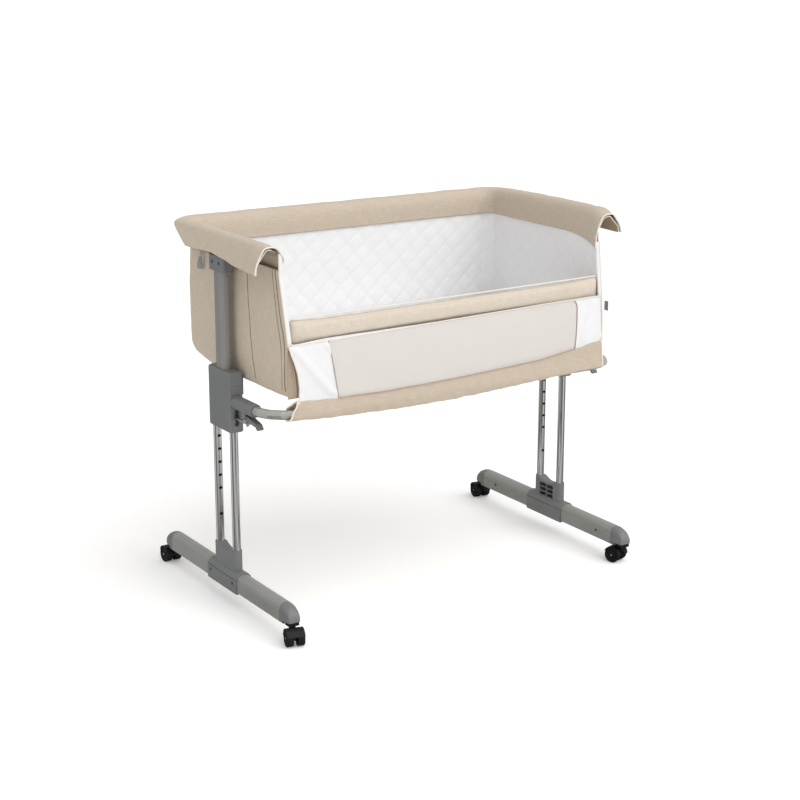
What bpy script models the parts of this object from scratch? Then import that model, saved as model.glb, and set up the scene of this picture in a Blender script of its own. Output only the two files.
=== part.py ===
"""Bedside crib on a rolling, height-adjustable stand.

Frame: X runs along the crib, -Y is the open side that faces the parents' bed, +Z is up.
The origin is on the floor, halfway between the two stands. All sizes are in metres.

Each stand is a steel foot bar on two castors, a bracket, two chrome tubes and a bridge that
ties the tubes' tops. The crib hangs between the stands: each housing slides on a pair of
tubes, and its post slides through the bridge above it.
"""

import math

import bmesh
import bpy
from mathutils import Matrix

# Driving dimensions -------------------------------------------------------------------

SIDE_ROOM = 0.023           # from the basket's end panels out to each stand's plane
GAP = 0.0003                # between pieces that touch
SLIDE_GAP = 0.0004          # between pieces that slide on each other

# stand: foot bar
BAR_THICK = 0.034
BAR_HEIGHT = 0.042
BAR_BOTTOM = 0.041
BAR_HALF_LENGTH = 0.258
BAR_WALL = 0.0015
BAR_LOBE = 0.0125           # height of the round lobe along the bar's top
BAR_GROOVE = 0.0016         # depth and height of the groove under the lobe
CAP_LENGTH = 0.038
CAP_PLUG = 0.022            # how far the cap's plug reaches into the bar
CAP_UNDERCUT = 0.0068       # room under the cap for the castor mount

# stand: castors
WHEEL_R = 0.0185
WHEEL_WIDTH = 0.0150
WHEEL_RECESS = 0.0030
WHEEL_RIM = 0.0050
WHEEL_EDGE = 0.0016
HOOD_WALL = 0.0018
WEB_THICK = 0.0080
TRAIL = 0.0180
STEM_PAST_BAR = 0.026       # from the bar's end out to the castor's stem
STEM_R = 0.0040
STEM_LENGTH = 0.026
AXLE_R = 0.0025
MOUNT_HALF_WIDTH = 0.0125
MOUNT_REACH = 0.0115        # past the stem towards each end
CASTOR_TURN = {             # the way each castor trails, in degrees from +X
    "left_back": 90.0, "left_front": 255.0, "right_back": 82.0, "right_front": 107.0,
}

# stand: tubes, bracket and bridge
TUBE_R = 0.0090
TUBE_WALL = 0.0015
TUBE_SPACING = 0.078
TUBE_FOOT = 0.092           # lower end of the tubes, inside the bracket
BRACKET_TOP = 0.130
BRACKET_DIP = 0.009         # how far the bracket's top edge dips between the tubes
BRACKET_WALL = 0.0025
SADDLE_HALF_LENGTH = 0.068
SADDLE_WALL = 0.0032
GRID_ROWS = 3
GRID_COLUMNS = 2
GRID_RIB = 0.0020
GRID_HEIGHT = 0.032
GRID_MARGIN = 0.003
BRIDGE_HEIGHT = 0.030
BRIDGE_ROOF = 0.008
NOTCH_PITCH = 0.030
NOTCH_COUNT = 7
NOTCH_WIDTH = 0.0076
NOTCH_HEIGHT = 0.0056
FIXING_HOLE_Z = 0.195

# crib: housing, post and lock
HOUSING_BOTTOM = 0.402
HOUSING_HEIGHT = 0.103
HOUSING_HALF_THICK = 0.0165
HOUSING_BACK_WALL = 0.0035
HOUSING_FRONT = 0.055       # from the stand's centre to the housing's flat front face
POST_THICK = 0.022
POST_WIDTH = 0.041
POST_WALL = 0.0015
POST_SEAT = 0.055           # how deep the post stands in its housing
POST_ABOVE_WALL = 0.010     # from the panels' top edge up to the post's top
LOCK_TRAVEL = 0.0035
LOCK_THICK = 0.0040
LOCK_ROOM = 0.0005
LOCK_RAIL = 0.0034          # width of the plate on each side of the front tube
LOCK_CLEAR = 0.0005         # from the drawn plate's tip to the notched tube
WINDOW_HALF_WIDTH = 0.0060
WINDOW_HALF_HEIGHT = 0.0190
BOSS_R = 0.0150
BOSS_LENGTH = 0.087
BOSS_DROP = 0.034           # from the housing's top down to the boss's axis
BOSS_ROOM = 0.0005          # between the boss and the lever
EAR_THICK = 0.0030
EAR_ROOM = 0.0005           # between each ear and the lever
TRIGGER_WIDTH = 0.0140
TRIGGER_Y = 0.104           # pivot, from the stand's centre towards the front
TRIGGER_DROP = 0.021        # pivot below the boss's axis
TRIGGER_HUB_R = 0.0062
TRIGGER_PIN_R = 0.0020
TRIGGER_REACH = 0.050
TRIGGER_SAG = 0.008         # how much lower the lever's end is than its pivot
TRIGGER_END_R = 0.0035
SQUEEZE = 13.0              # the lever's travel, in degrees
FINGER_HALF = 0.0025
FINGER_ROOM = 0.0014        # round the finger in the lock plate, for its lean as it swings
TONGUE_HALF = 0.0040
ARM_HALF_WIDTH = 0.020

# crib: frame and rails
FRAME_TUBE_R = 0.0080
FRAME_WALL = 0.0012
FRAME_BEND = 0.045
BASKET_HALF_LENGTH = 0.422
BASKET_BACK = 0.235
BASKET_FRONT = 0.234
BASKET_WALL = 0.012
FLOOR_RISE = 0.007          # from the housings' tops up to the basket's floor
FLOOR_CLOTH = 0.004
BACK_CORNER_R = 0.042
FRONT_TAPER = 0.014         # how far the end panels turn in at the front
FRONT_TAPER_RUN = 0.050
WALL_TOP = 0.765
FRONT_EDGE_LEAN = 0.044     # how far the end panels' front edges lean back at the top
LEAN_ABOVE_LOW_WALL = 0.004 # from the low wall's top up to where the lean starts
RIM_TUBE_R = 0.0090
RIM_TUBE_WALL = 0.0012
RIM_OUT = 0.018             # from the panels' outer face to the rim tube's centre
RIM_ABOVE_WALL = 0.067      # from the panels' top edge up to the cover's top
RIM_CLOTH = 0.0040
RIM_ROOM = 0.0045           # between the tube and the cover's top
RIM_DROOP = 0.0035          # how much lower the cover's front ends are
RIM_HANG = 0.0665           # height of the rim cover's inner leg
RIM_FLARE = 0.032           # how far its outer leg stands away from the tube at the front
RIM_SETBACK = 0.028         # the cover's front ends, behind the basket's front edge
RIM_TUBE_SETBACK = 0.036    # the rim tube's front ends, behind the cover's
BRACKET_CAP_HEIGHT = 0.031
BRACKET_CAP_HALF = 0.034
CRADLE_HALF = 0.062

# crib: inner pieces
BOARD_THICK = 0.004
MATTRESS_THICK = 0.022
MATTRESS_ROOM = 0.006
LOW_WALL_THICK = 0.010
LOW_WALL_SETBACK = 0.016    # from the basket's front edge
LOW_WALL_TOP = 0.6220
BAND_HEIGHT = 0.046
BAND_THICK = 0.024
FLAP_THICK = 0.006

# front rail
RAIL_R = 0.0105
RAIL_WALL = 0.0015
RAIL_BEND = 0.075
RAIL_AHEAD = 0.0065         # the rail's axis, in front of the basket's front edge
RAIL_RISE = 0.008           # from the bosses up to the rail's straight run
RAIL_SEAT = 0.080
SLEEVE_HALF_DEPTH = 0.014
SLEEVE_BELOW = 0.0125
SLEEVE_ABOVE = 0.0265

# zip pull
PULL_Y = 0.132
PULL_LENGTH = 0.050
PULL_WIDTH = 0.012
PULL_THICK = 0.0028

ROUND = 16                  # sides of a round piece
SMALL_ROUND = 10
WHEEL_ROUND = 16
BEND_STEPS = 4              # spans in a quarter bend

# Sizes that follow ----------------------------------------------------------------------

HALF_SPAN = BASKET_HALF_LENGTH + SIDE_ROOM      # from the middle to each stand's plane
TUBE_Y = TUBE_SPACING / 2
STEM_Y = BAR_HALF_LENGTH + STEM_PAST_BAR
HOUSING_TOP = HOUSING_BOTTOM + HOUSING_HEIGHT
POST_TOP = WALL_TOP + POST_ABOVE_WALL
BOSS_Z = HOUSING_TOP - BOSS_DROP
BASKET_FLOOR = HOUSING_TOP + FLOOR_RISE
FRONT_EDGE_BREAK = LOW_WALL_TOP + LEAN_ABOVE_LOW_WALL
RIM_TOP = WALL_TOP + RIM_ABOVE_WALL
RIM_FRONT = BASKET_FRONT - RIM_SETBACK
RIM_TUBE_FRONT = RIM_FRONT - RIM_TUBE_SETBACK
LOW_WALL_FRONT = BASKET_FRONT - LOW_WALL_SETBACK
RAIL_Y = BASKET_FRONT + RAIL_AHEAD
PULL_Z = WALL_TOP
BAR_TOP = BAR_BOTTOM + BAR_HEIGHT
BRIDGE_BOTTOM = HOUSING_TOP + GAP
BRIDGE_TOP = BRIDGE_BOTTOM + BRIDGE_HEIGHT
TUBE_TOP = BRIDGE_TOP - BRIDGE_ROOF
POST_BOTTOM = HOUSING_TOP - POST_SEAT
LOCK_Z = POST_BOTTOM - 0.015
LOCK_TUBE_ROOM = TUBE_R + SLIDE_GAP + GAP       # radius of the plate's hole for the front tube
LOCK_HALF_WIDTH = LOCK_TUBE_ROOM + LOCK_RAIL
LOCK_FRONT = TUBE_Y + LOCK_TUBE_ROOM + 0.0013
TRIGGER_Z = BOSS_Z - TRIGGER_DROP
BOSS_FRONT = HOUSING_FRONT + BOSS_LENGTH
FRAME_X = BASKET_HALF_LENGTH - BASKET_WALL - FRAME_TUBE_R - 0.001
FLOOR_TOP = BASKET_FLOOR + FLOOR_CLOTH
FRAME_Z = FLOOR_TOP + GAP + FRAME_TUBE_R
BOARD_BOTTOM = FRAME_Z + FRAME_TUBE_R + GAP
MATTRESS_BOTTOM = BOARD_BOTTOM + BOARD_THICK + GAP
INNER_X = BASKET_HALF_LENGTH - BASKET_WALL
FRONT_INNER_X = INNER_X - FRONT_TAPER
INNER_BACK = BASKET_BACK - BASKET_WALL
INNER_CORNER_R = BACK_CORNER_R - BASKET_WALL
LOW_WALL_BACK = LOW_WALL_FRONT - LOW_WALL_THICK
RIM_X = BASKET_HALF_LENGTH + RIM_OUT
RIM_BACK = BASKET_BACK + RIM_OUT
RIM_CORNER_R = BACK_CORNER_R + RIM_OUT
RIM_TUBE_Z = RIM_TOP - RIM_CLOTH - RIM_TUBE_R - RIM_ROOM
RAIL_X = HALF_SPAN
RAIL_END = BOSS_FRONT - RAIL_SEAT
AXLE_Z = WHEEL_R
WHEEL_INNER = WEB_THICK / 2 + 0.0005
WHEEL_OUTER = WHEEL_INNER + WHEEL_WIDTH
HOOD_INNER_R = WHEEL_R + 0.0005
HOOD_OUTER_R = HOOD_INNER_R + HOOD_WALL
HOOD_TOP = AXLE_Z + HOOD_OUTER_R
MOUNT_BOTTOM = HOOD_TOP + 0.0008
MOUNT_TOP = BAR_BOTTOM + CAP_UNDERCUT - GAP


# Scene and materials ----------------------------------------------------------------------

for old in list(bpy.data.objects):
    bpy.data.objects.remove(old, do_unlink=True)


def finish(name, colour, roughness, metallic=0.0):
    """A Principled material."""
    material = bpy.data.materials.new(name)
    material.use_nodes = True
    shader = material.node_tree.nodes["Principled BSDF"]
    shader.inputs["Base Color"].default_value = (*colour, 1.0)
    shader.inputs["Roughness"].default_value = roughness
    shader.inputs["Metallic"].default_value = metallic
    material.diffuse_color = (*colour, 1.0)
    return material


CHROME = finish("chrome", (0.78, 0.77, 0.74), 0.12, 1.0)
BAR_PAINT = finish("bar_paint", (0.20, 0.205, 0.185), 0.42, 0.3)
POST_PAINT = finish("post_paint", (0.15, 0.155, 0.16), 0.4, 0.2)
RAIL_PAINT = finish("rail_paint", (0.10, 0.10, 0.105), 0.4, 0.2)
GREY_PLASTIC = finish("grey_plastic", (0.15, 0.155, 0.16), 0.5)
BLACK_PLASTIC = finish("black_plastic", (0.012, 0.012, 0.013), 0.45)
BEIGE_FABRIC = finish("beige_fabric", (0.56, 0.47, 0.37), 0.95)
WHITE_FABRIC = finish("white_fabric", (0.86, 0.86, 0.87), 0.95)
MESH_FABRIC = finish("mesh_fabric", (0.80, 0.77, 0.74), 0.95)
BOARD_FINISH = finish("board", (0.45, 0.34, 0.22), 0.7)
ZINC = finish("zinc", (0.7, 0.7, 0.7), 0.3, 1.0)


# Outlines: lists of points in a plane ------------------------------------------------------

def arc(centre, radii, start, end, spans):
    """Points on an elliptic arc, angles in degrees."""
    points = []
    for step in range(spans + 1):
        angle = math.radians(start + (end - start) * step / spans)
        points.append((centre[0] + radii[0] * math.cos(angle), centre[1] + radii[1] * math.sin(angle)))
    return points


def circle(centre, radius, sides=ROUND):
    return arc(centre, (radius, radius), 0, 360 * (1 - 1 / sides), sides - 1)


def rounded_box(centre, half, radius, spans=3):
    """A rectangle with round corners."""
    points = []
    for turn, (a, b) in enumerate(((1, 1), (-1, 1), (-1, -1), (1, -1))):
        corner = (centre[0] + a * (half[0] - radius), centre[1] + b * (half[1] - radius))
        points += arc(corner, (radius, radius), 90 * turn, 90 * turn + 90, spans)
    return points


def hull_of_circles(first, first_r, second, second_r, spans=5):
    """The outline of a strap wrapped round two circles."""
    dx, dy = second[0] - first[0], second[1] - first[1]
    heading = math.degrees(math.atan2(dy, dx))
    lean = math.degrees(math.asin((first_r - second_r) / math.hypot(dx, dy)))
    back = arc(first, (first_r, first_r), heading + 90 - lean, heading + 270 + lean, spans)
    front = arc(second, (second_r, second_r), heading - 90 + lean, heading + 90 - lean, spans)
    return back + front


def bar_outline(grow=0.0, width_share=1.0, height_share=1.0):
    """The foot bar's section in X and Z: flat sides, a groove, and a round lobe on top."""
    half = (BAR_THICK / 2 + grow) * width_share
    bottom = BAR_BOTTOM - grow
    lobe_base = BAR_BOTTOM + (BAR_HEIGHT - BAR_LOBE) * height_share
    groove = BAR_GROOVE * height_share
    depth = min(BAR_GROOVE, half / 4)
    lobe_top = BAR_BOTTOM + BAR_HEIGHT * height_share + grow
    right = [
        (half - 0.002, bottom), (half, bottom + 0.002), (half, lobe_base - groove + grow / 2),
        (half - depth, lobe_base),
    ]
    lobe = arc((0, lobe_base), (half - depth / 2, lobe_top - lobe_base), 8, 172, 8)
    left = [(-x, z) for x, z in reversed(right)]
    return right + lobe + left


# Solids: bmesh bodies -----------------------------------------------------------------------

def at(axis, u, v, along):
    """A point whose plane coordinates are u and v, at a height along the axis."""
    if axis == "x":
        return (along, u, v)
    if axis == "y":
        return (u, along, v)
    return (u, v, along)


def loft(loops, closed=False):
    """A skin through loops of equal length, capped at both ends unless it closes on itself."""
    body = bmesh.new()
    rings = [[body.verts.new(point) for point in loop] for loop in loops]
    count = len(rings[0])
    pairs = list(zip(rings, rings[1:]))
    if closed:
        pairs.append((rings[-1], rings[0]))
    for near, far in pairs:
        for i in range(count):
            j = (i + 1) % count
            body.faces.new((near[i], near[j], far[j], far[i]))
    if not closed:
        body.faces.new(rings[0])
        body.faces.new(rings[-1])
    bmesh.ops.recalc_face_normals(body, faces=body.faces)
    return body


def prism(outline, axis, low, high):
    """An outline pulled along an axis."""
    return loft([[at(axis, u, v, along) for u, v in outline] for along in (low, high)])


def rod(axis, centre, radius, low, high, sides=ROUND):
    return prism(circle(centre, radius, sides), axis, low, high)


def block(x, y, z):
    """A box from three (low, high) pairs."""
    return prism([(x[0], y[0]), (x[1], y[0]), (x[1], y[1]), (x[0], y[1])], "z", *z)


def lathe(profile, centre, sides):
    """A closed profile of (radius, along Y) points turned about an axis in the XZ plane."""
    loops = []
    for step in range(sides):
        angle = 2 * math.pi * step / sides
        loops.append([
            (centre[0] + radius * math.cos(angle), along, centre[1] + radius * math.sin(angle))
            for radius, along in profile
        ])
    return loft(loops, closed=True)


def soften(body, width, keep=lambda edge: True, segments=1):
    """Rounds the sharp edges that keep() accepts."""
    sharp = [
        edge for edge in body.edges
        if len(edge.link_faces) == 2 and edge.calc_face_angle(0) > math.radians(35) and keep(edge)
    ]
    bmesh.ops.bevel(
        body, geom=sharp, offset=width, segments=segments, profile=0.5, affect="EDGES",
        clamp_overlap=True,
    )
    return body


def holder(body):
    """A throw-away object for a Boolean."""
    mesh = bpy.data.meshes.new("scratch")
    body.to_mesh(mesh)
    body.free()
    helper = bpy.data.objects.new("scratch", mesh)
    bpy.context.scene.collection.objects.link(helper)
    return helper


def combine(body, others, operation):
    """The body after a Boolean with each of the others."""
    base = holder(body)
    helpers = [holder(other) for other in others]
    for helper in helpers:
        step = base.modifiers.new("step", "BOOLEAN")
        step.operation = operation
        step.object = helper
    bpy.context.view_layer.update()
    graph = bpy.context.evaluated_depsgraph_get()
    result = bmesh.new()
    result.from_object(base, graph)
    for used in [base, *helpers]:
        mesh = used.data
        bpy.data.objects.remove(used)
        bpy.data.meshes.remove(mesh)
    bmesh.ops.remove_doubles(result, verts=result.verts, dist=0.000002)
    bmesh.ops.dissolve_degenerate(result, edges=result.edges, dist=0.000002)
    return result


def cut(body, *cutters):
    return combine(body, cutters, "DIFFERENCE")


def join(body, *others):
    return combine(body, others, "UNION")


def pipe(path, radius, wall, closed=False, sides=12):
    """A hollow round tube along a level path."""
    outer = sweep(path, circle((0, path[0][2]), radius, sides), closed)
    inner = sweep(stretched(path, closed), circle((0, path[0][2]), radius - wall, sides), closed)
    return cut(outer, inner)


def stretched(path, closed):
    """The path made a little longer at both ends, so that a bore opens there."""
    if closed:
        return path
    first, last = path[0], path[-1]
    extra = 0.002
    before = (first[0] - first[3] * extra, first[1] - first[4] * extra, *first[2:])
    after = (last[0] + last[3] * extra, last[1] + last[4] * extra, *last[2:])
    return [before, *path, after]


def sweep(path, section, closed=False):
    """A section of (offset, z) points carried along a level path of (x, y, z, tx, ty)."""
    loops = []
    for x, y, _, tx, ty in path:
        loops.append([(x + ty * offset, y - tx * offset, z) for offset, z in section])
    return loft(loops, closed)


def level_path(corners, z, closed=False):
    """Straight runs joined by round bends, from (x, y, bend radius) corners."""
    path = []
    count = len(corners)
    for i, (x, y, radius) in enumerate(corners):
        before, after = corners[i - 1], corners[(i + 1) % count]
        if not closed and i in (0, count - 1):
            other = after if i == 0 else before
            sign = 1 if i == 0 else -1
            length = math.hypot(other[0] - x, other[1] - y)
            path.append((x, y, z, sign * (other[0] - x) / length, sign * (other[1] - y) / length))
            continue
        in_len = math.hypot(x - before[0], y - before[1])
        out_len = math.hypot(after[0] - x, after[1] - y)
        tin = ((x - before[0]) / in_len, (y - before[1]) / in_len)
        if radius == 0:
            path.append((x, y, z, *tin))
            continue
        tout = ((after[0] - x) / out_len, (after[1] - y) / out_len)
        turn = math.atan2(tin[0] * tout[1] - tin[1] * tout[0], tin[0] * tout[0] + tin[1] * tout[1])
        reach = radius * math.tan(abs(turn) / 2)
        side = math.copysign(1, turn)
        centre = (
            x - tin[0] * reach - side * tin[1] * radius,
            y - tin[1] * reach + side * tin[0] * radius,
        )
        for step in range(BEND_STEPS + 1):
            angle = turn * step / BEND_STEPS
            tx = tin[0] * math.cos(angle) - tin[1] * math.sin(angle)
            ty = tin[0] * math.sin(angle) + tin[1] * math.cos(angle)
            path.append((centre[0] + side * ty * radius, centre[1] - side * tx * radius, z, tx, ty))
    return path


# Placing --------------------------------------------------------------------------------------

def place(name, body, material, pivot=(0, 0, 0)):
    """Makes the named object, with its origin at the pivot. Its faces point outwards."""
    body.normal_update()
    bmesh.ops.recalc_face_normals(body, faces=body.faces)
    bmesh.ops.translate(body, vec=[-value for value in pivot], verts=body.verts)
    mesh = bpy.data.meshes.new(name)
    body.to_mesh(mesh)
    body.free()
    mesh.materials.append(material)
    mesh.shade_smooth()
    mesh.set_sharp_from_angle(angle=math.radians(32))
    made = bpy.data.objects.new(name, mesh)
    made.location = pivot
    bpy.context.scene.collection.objects.link(made)
    return made


SIDES = {"left": -1, "right": 1}


def on_side(body, side):
    """Moves a body made at a stand's centre, with +X towards the crib, to its stand."""
    sign = SIDES[side]
    for vert in body.verts:
        vert.co.x = sign * (HALF_SPAN - vert.co.x)
    if sign > 0:
        bmesh.ops.reverse_faces(body, faces=body.faces)
    return body


# Stand ------------------------------------------------------------------------------------------

def foot_bar(side):
    outer = prism(bar_outline(), "y", -BAR_HALF_LENGTH, BAR_HALF_LENGTH)
    inner = prism(bar_outline(-BAR_WALL), "y", -BAR_HALF_LENGTH - 0.01, BAR_HALF_LENGTH + 0.01)
    place(f"foot_bar_{side}", on_side(cut(outer, inner), side), BAR_PAINT)


def end_cap(side, end):
    """A rounded nose that plugs into the bar's end, cut away underneath for the castor."""
    spans = 6
    loops = []
    for step in range(spans + 1):
        share = step / spans
        y = BAR_HALF_LENGTH + GAP + CAP_LENGTH * math.sin(math.radians(90) * share)
        drop = 1 - 0.62 * (1 - math.cos(math.radians(90) * share))
        width = 1 - 0.30 * (1 - math.cos(math.radians(90) * share))
        loops.append([(x, y, z) for x, z in bar_outline(0, width, drop)])
    nose = loft(loops)
    plug = prism(
        bar_outline(-BAR_WALL - GAP), "y", BAR_HALF_LENGTH - CAP_PLUG, BAR_HALF_LENGTH + 0.002
    )
    cap = join(nose, plug)
    undercut = block(
        (-BAR_THICK, BAR_THICK),
        (STEM_Y - MOUNT_REACH - 2 * GAP, BAR_HALF_LENGTH + CAP_LENGTH + 0.02),
        (BAR_BOTTOM - 0.01, BAR_BOTTOM + CAP_UNDERCUT),
    )
    stem_hole = rod(
        "z", (0, STEM_Y), STEM_R + GAP, BAR_BOTTOM, HOOD_TOP + STEM_LENGTH + GAP, SMALL_ROUND
    )
    cap = turned(cut(cap, undercut, stem_hole), end)
    place(f"end_cap_{side}_{end}", on_side(cap, side), GREY_PLASTIC)


def turned(body, end):
    """Swaps a piece made for the back end to the front end."""
    if end == "front":
        for vert in body.verts:
            vert.co.y = -vert.co.y
        bmesh.ops.reverse_faces(body, faces=body.faces)
    return body


def castor_mount(side, end):
    """The flat black socket plate that the castor's stem turns in."""
    plate = prism(
        rounded_box((0, STEM_Y), (MOUNT_HALF_WIDTH, MOUNT_REACH), 0.004), "z", MOUNT_BOTTOM, MOUNT_TOP
    )
    hole = rod("z", (0, STEM_Y), STEM_R + GAP, MOUNT_BOTTOM - 0.01, MOUNT_TOP + 0.01, SMALL_ROUND)
    plate = turned(cut(plate, hole), end)
    place(f"castor_mount_{side}_{end}", on_side(plate, side), BLACK_PLASTIC)


def castor(side, end):
    """A twin-wheel castor, made trailing towards +X from its stem, then turned and moved."""
    key = f"{side}_{end}"
    stem_at = (SIDES[side] * HALF_SPAN, STEM_Y if end == "back" else -STEM_Y)
    turn = math.radians(CASTOR_TURN[key])

    def put(body):
        for vert in body.verts:
            x, y = vert.co.x, vert.co.y
            vert.co.x = stem_at[0] + x * math.cos(turn) - y * math.sin(turn)
            vert.co.y = stem_at[1] + x * math.sin(turn) + y * math.cos(turn)
        return body

    wheel_at = (stem_at[0] + TRAIL * math.cos(turn), stem_at[1] + TRAIL * math.sin(turn), AXLE_Z)
    stem_pivot = (*stem_at, MOUNT_BOTTOM)
    web = prism(
        hull_of_circles((0, 0.027), 0.0085, (TRAIL, AXLE_Z), 0.0075),
        "y", -WEB_THICK / 2, WEB_THICK / 2,
    )
    hood = prism(
        arc((TRAIL, AXLE_Z), (HOOD_OUTER_R, HOOD_OUTER_R), 20, 180, 8)
        + arc((TRAIL, AXLE_Z), (HOOD_INNER_R, HOOD_INNER_R), 180, 20, 8),
        "y", -WHEEL_OUTER, WHEEL_OUTER,
    )
    room = join(
        rod("y", (TRAIL, AXLE_Z), HOOD_INNER_R, WEB_THICK / 2, WHEEL_OUTER + 0.01),
        rod("y", (TRAIL, AXLE_Z), HOOD_INNER_R, -WHEEL_OUTER - 0.01, -WEB_THICK / 2),
    )
    stem = rod("z", (0, 0), STEM_R, HOOD_TOP - 0.012, HOOD_TOP + STEM_LENGTH, SMALL_ROUND)
    hub = rod("z", (0, 0), 0.0075, HOOD_TOP - 0.010, HOOD_TOP, SMALL_ROUND)
    axle_hole = rod("y", (TRAIL, AXLE_Z), AXLE_R + GAP, -0.01, 0.01, SMALL_ROUND)
    trim = block((-0.05, 0.06), (-0.05, 0.05), (HOOD_TOP, HOOD_TOP + 0.02))
    lower = cut(join(web, hood, hub), trim)
    fork = cut(join(cut(lower, room), stem), axle_hole)
    place(f"castor_fork_{key}", put(fork), BLACK_PLASTIC, stem_pivot)

    axle = rod("y", (TRAIL, AXLE_Z), AXLE_R, -WHEEL_OUTER, WHEEL_OUTER, SMALL_ROUND)
    place(f"castor_axle_{key}", put(axle), ZINC, wheel_at)
    for letter, sign in (("a", 1), ("b", -1)):
        profile = [
            (AXLE_R + GAP, WHEEL_INNER), (AXLE_R + GAP, WHEEL_OUTER - WHEEL_RECESS),
            (WHEEL_R - WHEEL_RIM, WHEEL_OUTER - WHEEL_RECESS), (WHEEL_R - WHEEL_RIM, WHEEL_OUTER),
            (WHEEL_R - WHEEL_EDGE, WHEEL_OUTER), (WHEEL_R, WHEEL_OUTER - WHEEL_EDGE),
            (WHEEL_R, WHEEL_INNER + WHEEL_EDGE), (WHEEL_R - WHEEL_EDGE, WHEEL_INNER),
        ]
        wheel = lathe([(radius, sign * y) for radius, y in profile], (TRAIL, AXLE_Z), WHEEL_ROUND)
        place(f"castor_wheel_{key}_{letter}", put(wheel), BLACK_PLASTIC, wheel_at)


def foot_bracket(side):
    """Sleeve round the bar, with a column that holds the two tubes."""
    sleeve_half = BAR_THICK / 2 + SADDLE_WALL
    sleeve = prism(
        bar_outline(SADDLE_WALL), "y", -SADDLE_HALF_LENGTH, SADDLE_HALF_LENGTH
    )
    sleeve = soften(sleeve, 0.0015, lambda edge: abs(edge.verts[0].co.y - edge.verts[1].co.y) < 1e-6)
    radius = TUBE_R + BRACKET_WALL
    column = prism(
        rounded_box((0, 0), (radius, TUBE_Y + radius), radius * 0.98, 6),
        "z", BAR_TOP - 0.012, BRACKET_TOP,
    )
    dip_r = ((TUBE_Y - TUBE_R) ** 2 + BRACKET_DIP ** 2) / (2 * BRACKET_DIP)
    dip = rod("x", (0, BRACKET_TOP + dip_r - BRACKET_DIP), dip_r, -0.03, 0.03, 48)
    body = join(sleeve, column)
    cutters = [
        prism(bar_outline(GAP), "y", -SADDLE_HALF_LENGTH - 0.01, SADDLE_HALF_LENGTH + 0.01), dip
    ]
    for y in (-TUBE_Y, TUBE_Y):
        cutters.append(rod("z", (0, y), TUBE_R + GAP, TUBE_FOOT - GAP, BRACKET_TOP + 0.01))
    grid_half = TUBE_Y - TUBE_R - GRID_MARGIN
    width = (2 * grid_half - (GRID_COLUMNS - 1) * GRID_RIB) / GRID_COLUMNS
    height = (GRID_HEIGHT - (GRID_ROWS - 1) * GRID_RIB) / GRID_ROWS
    grid_bottom = BRACKET_TOP - BRACKET_DIP - 0.003 - GRID_HEIGHT
    for row in range(GRID_ROWS):
        for column_number in range(GRID_COLUMNS):
            low_y = -grid_half + column_number * (width + GRID_RIB)
            low_z = grid_bottom + row * (height + GRID_RIB)
            cutters.append(block(
                (-radius + BRACKET_WALL, sleeve_half), (low_y, low_y + width), (low_z, low_z + height)
            ))
    place(f"foot_bracket_{side}", on_side(cut(body, *cutters), side), GREY_PLASTIC)


def stand_tube(side, end):
    """A chrome tube. The back one has the row of notches that the lock drops into."""
    y = TUBE_Y if end == "back" else -TUBE_Y
    body = cut(
        rod("z", (0, y), TUBE_R, TUBE_FOOT, TUBE_TOP),
        rod("z", (0, y), TUBE_R - TUBE_WALL, TUBE_FOOT - 0.01, TUBE_TOP + 0.01),
    )
    if end == "back":
        levels = [LOCK_Z - NOTCH_PITCH * step for step in range(NOTCH_COUNT)] + [FIXING_HOLE_Z]
        notches = [
            block(
                (-NOTCH_WIDTH / 2, NOTCH_WIDTH / 2), (y - TUBE_R - 0.002, y - TUBE_R / 2),
                (level - NOTCH_HEIGHT / 2, level + NOTCH_HEIGHT / 2),
            )
            for level in levels
        ]
        body = cut(body, *notches)
    place(f"{end}_tube_{side}", on_side(body, side), CHROME)


def post_outline(grow=0.0):
    half = (POST_THICK / 2 + grow, POST_WIDTH / 2 + grow)
    return rounded_box((0, 0), half, POST_THICK * 0.42 + grow, 5)


def housing_outline():
    """Round at the back, flat at the front with small corner radii."""
    back = arc((0, TUBE_Y), (HOUSING_HALF_THICK, TUBE_R + HOUSING_BACK_WALL), 0, 180, 8)
    corner = 0.004
    edge = HOUSING_HALF_THICK - corner
    front = arc((-edge, -HOUSING_FRONT + corner), (corner, corner), 180, 270, 3)
    front += arc((edge, -HOUSING_FRONT + corner), (corner, corner), 270, 360, 3)
    return back + front


def bridge(side):
    """Ties the tubes' tops, and guides the post that passes through it."""
    body = prism(housing_outline(), "z", BRIDGE_BOTTOM, BRIDGE_TOP)
    body = soften(body, 0.006, lambda edge: min(v.co.z for v in edge.verts) > BRIDGE_TOP - 1e-5, 3)
    cutters = [prism(post_outline(SLIDE_GAP), "z", BRIDGE_BOTTOM - 0.01, BRIDGE_TOP + 0.01)]
    for y in (-TUBE_Y, TUBE_Y):
        cutters.append(rod("z", (0, y), TUBE_R + GAP, BRIDGE_BOTTOM - 0.01, TUBE_TOP + GAP))
    place(f"bridge_{side}", on_side(cut(body, *cutters), side), GREY_PLASTIC)


# Crib: housings and locks -----------------------------------------------------------------------

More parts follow.
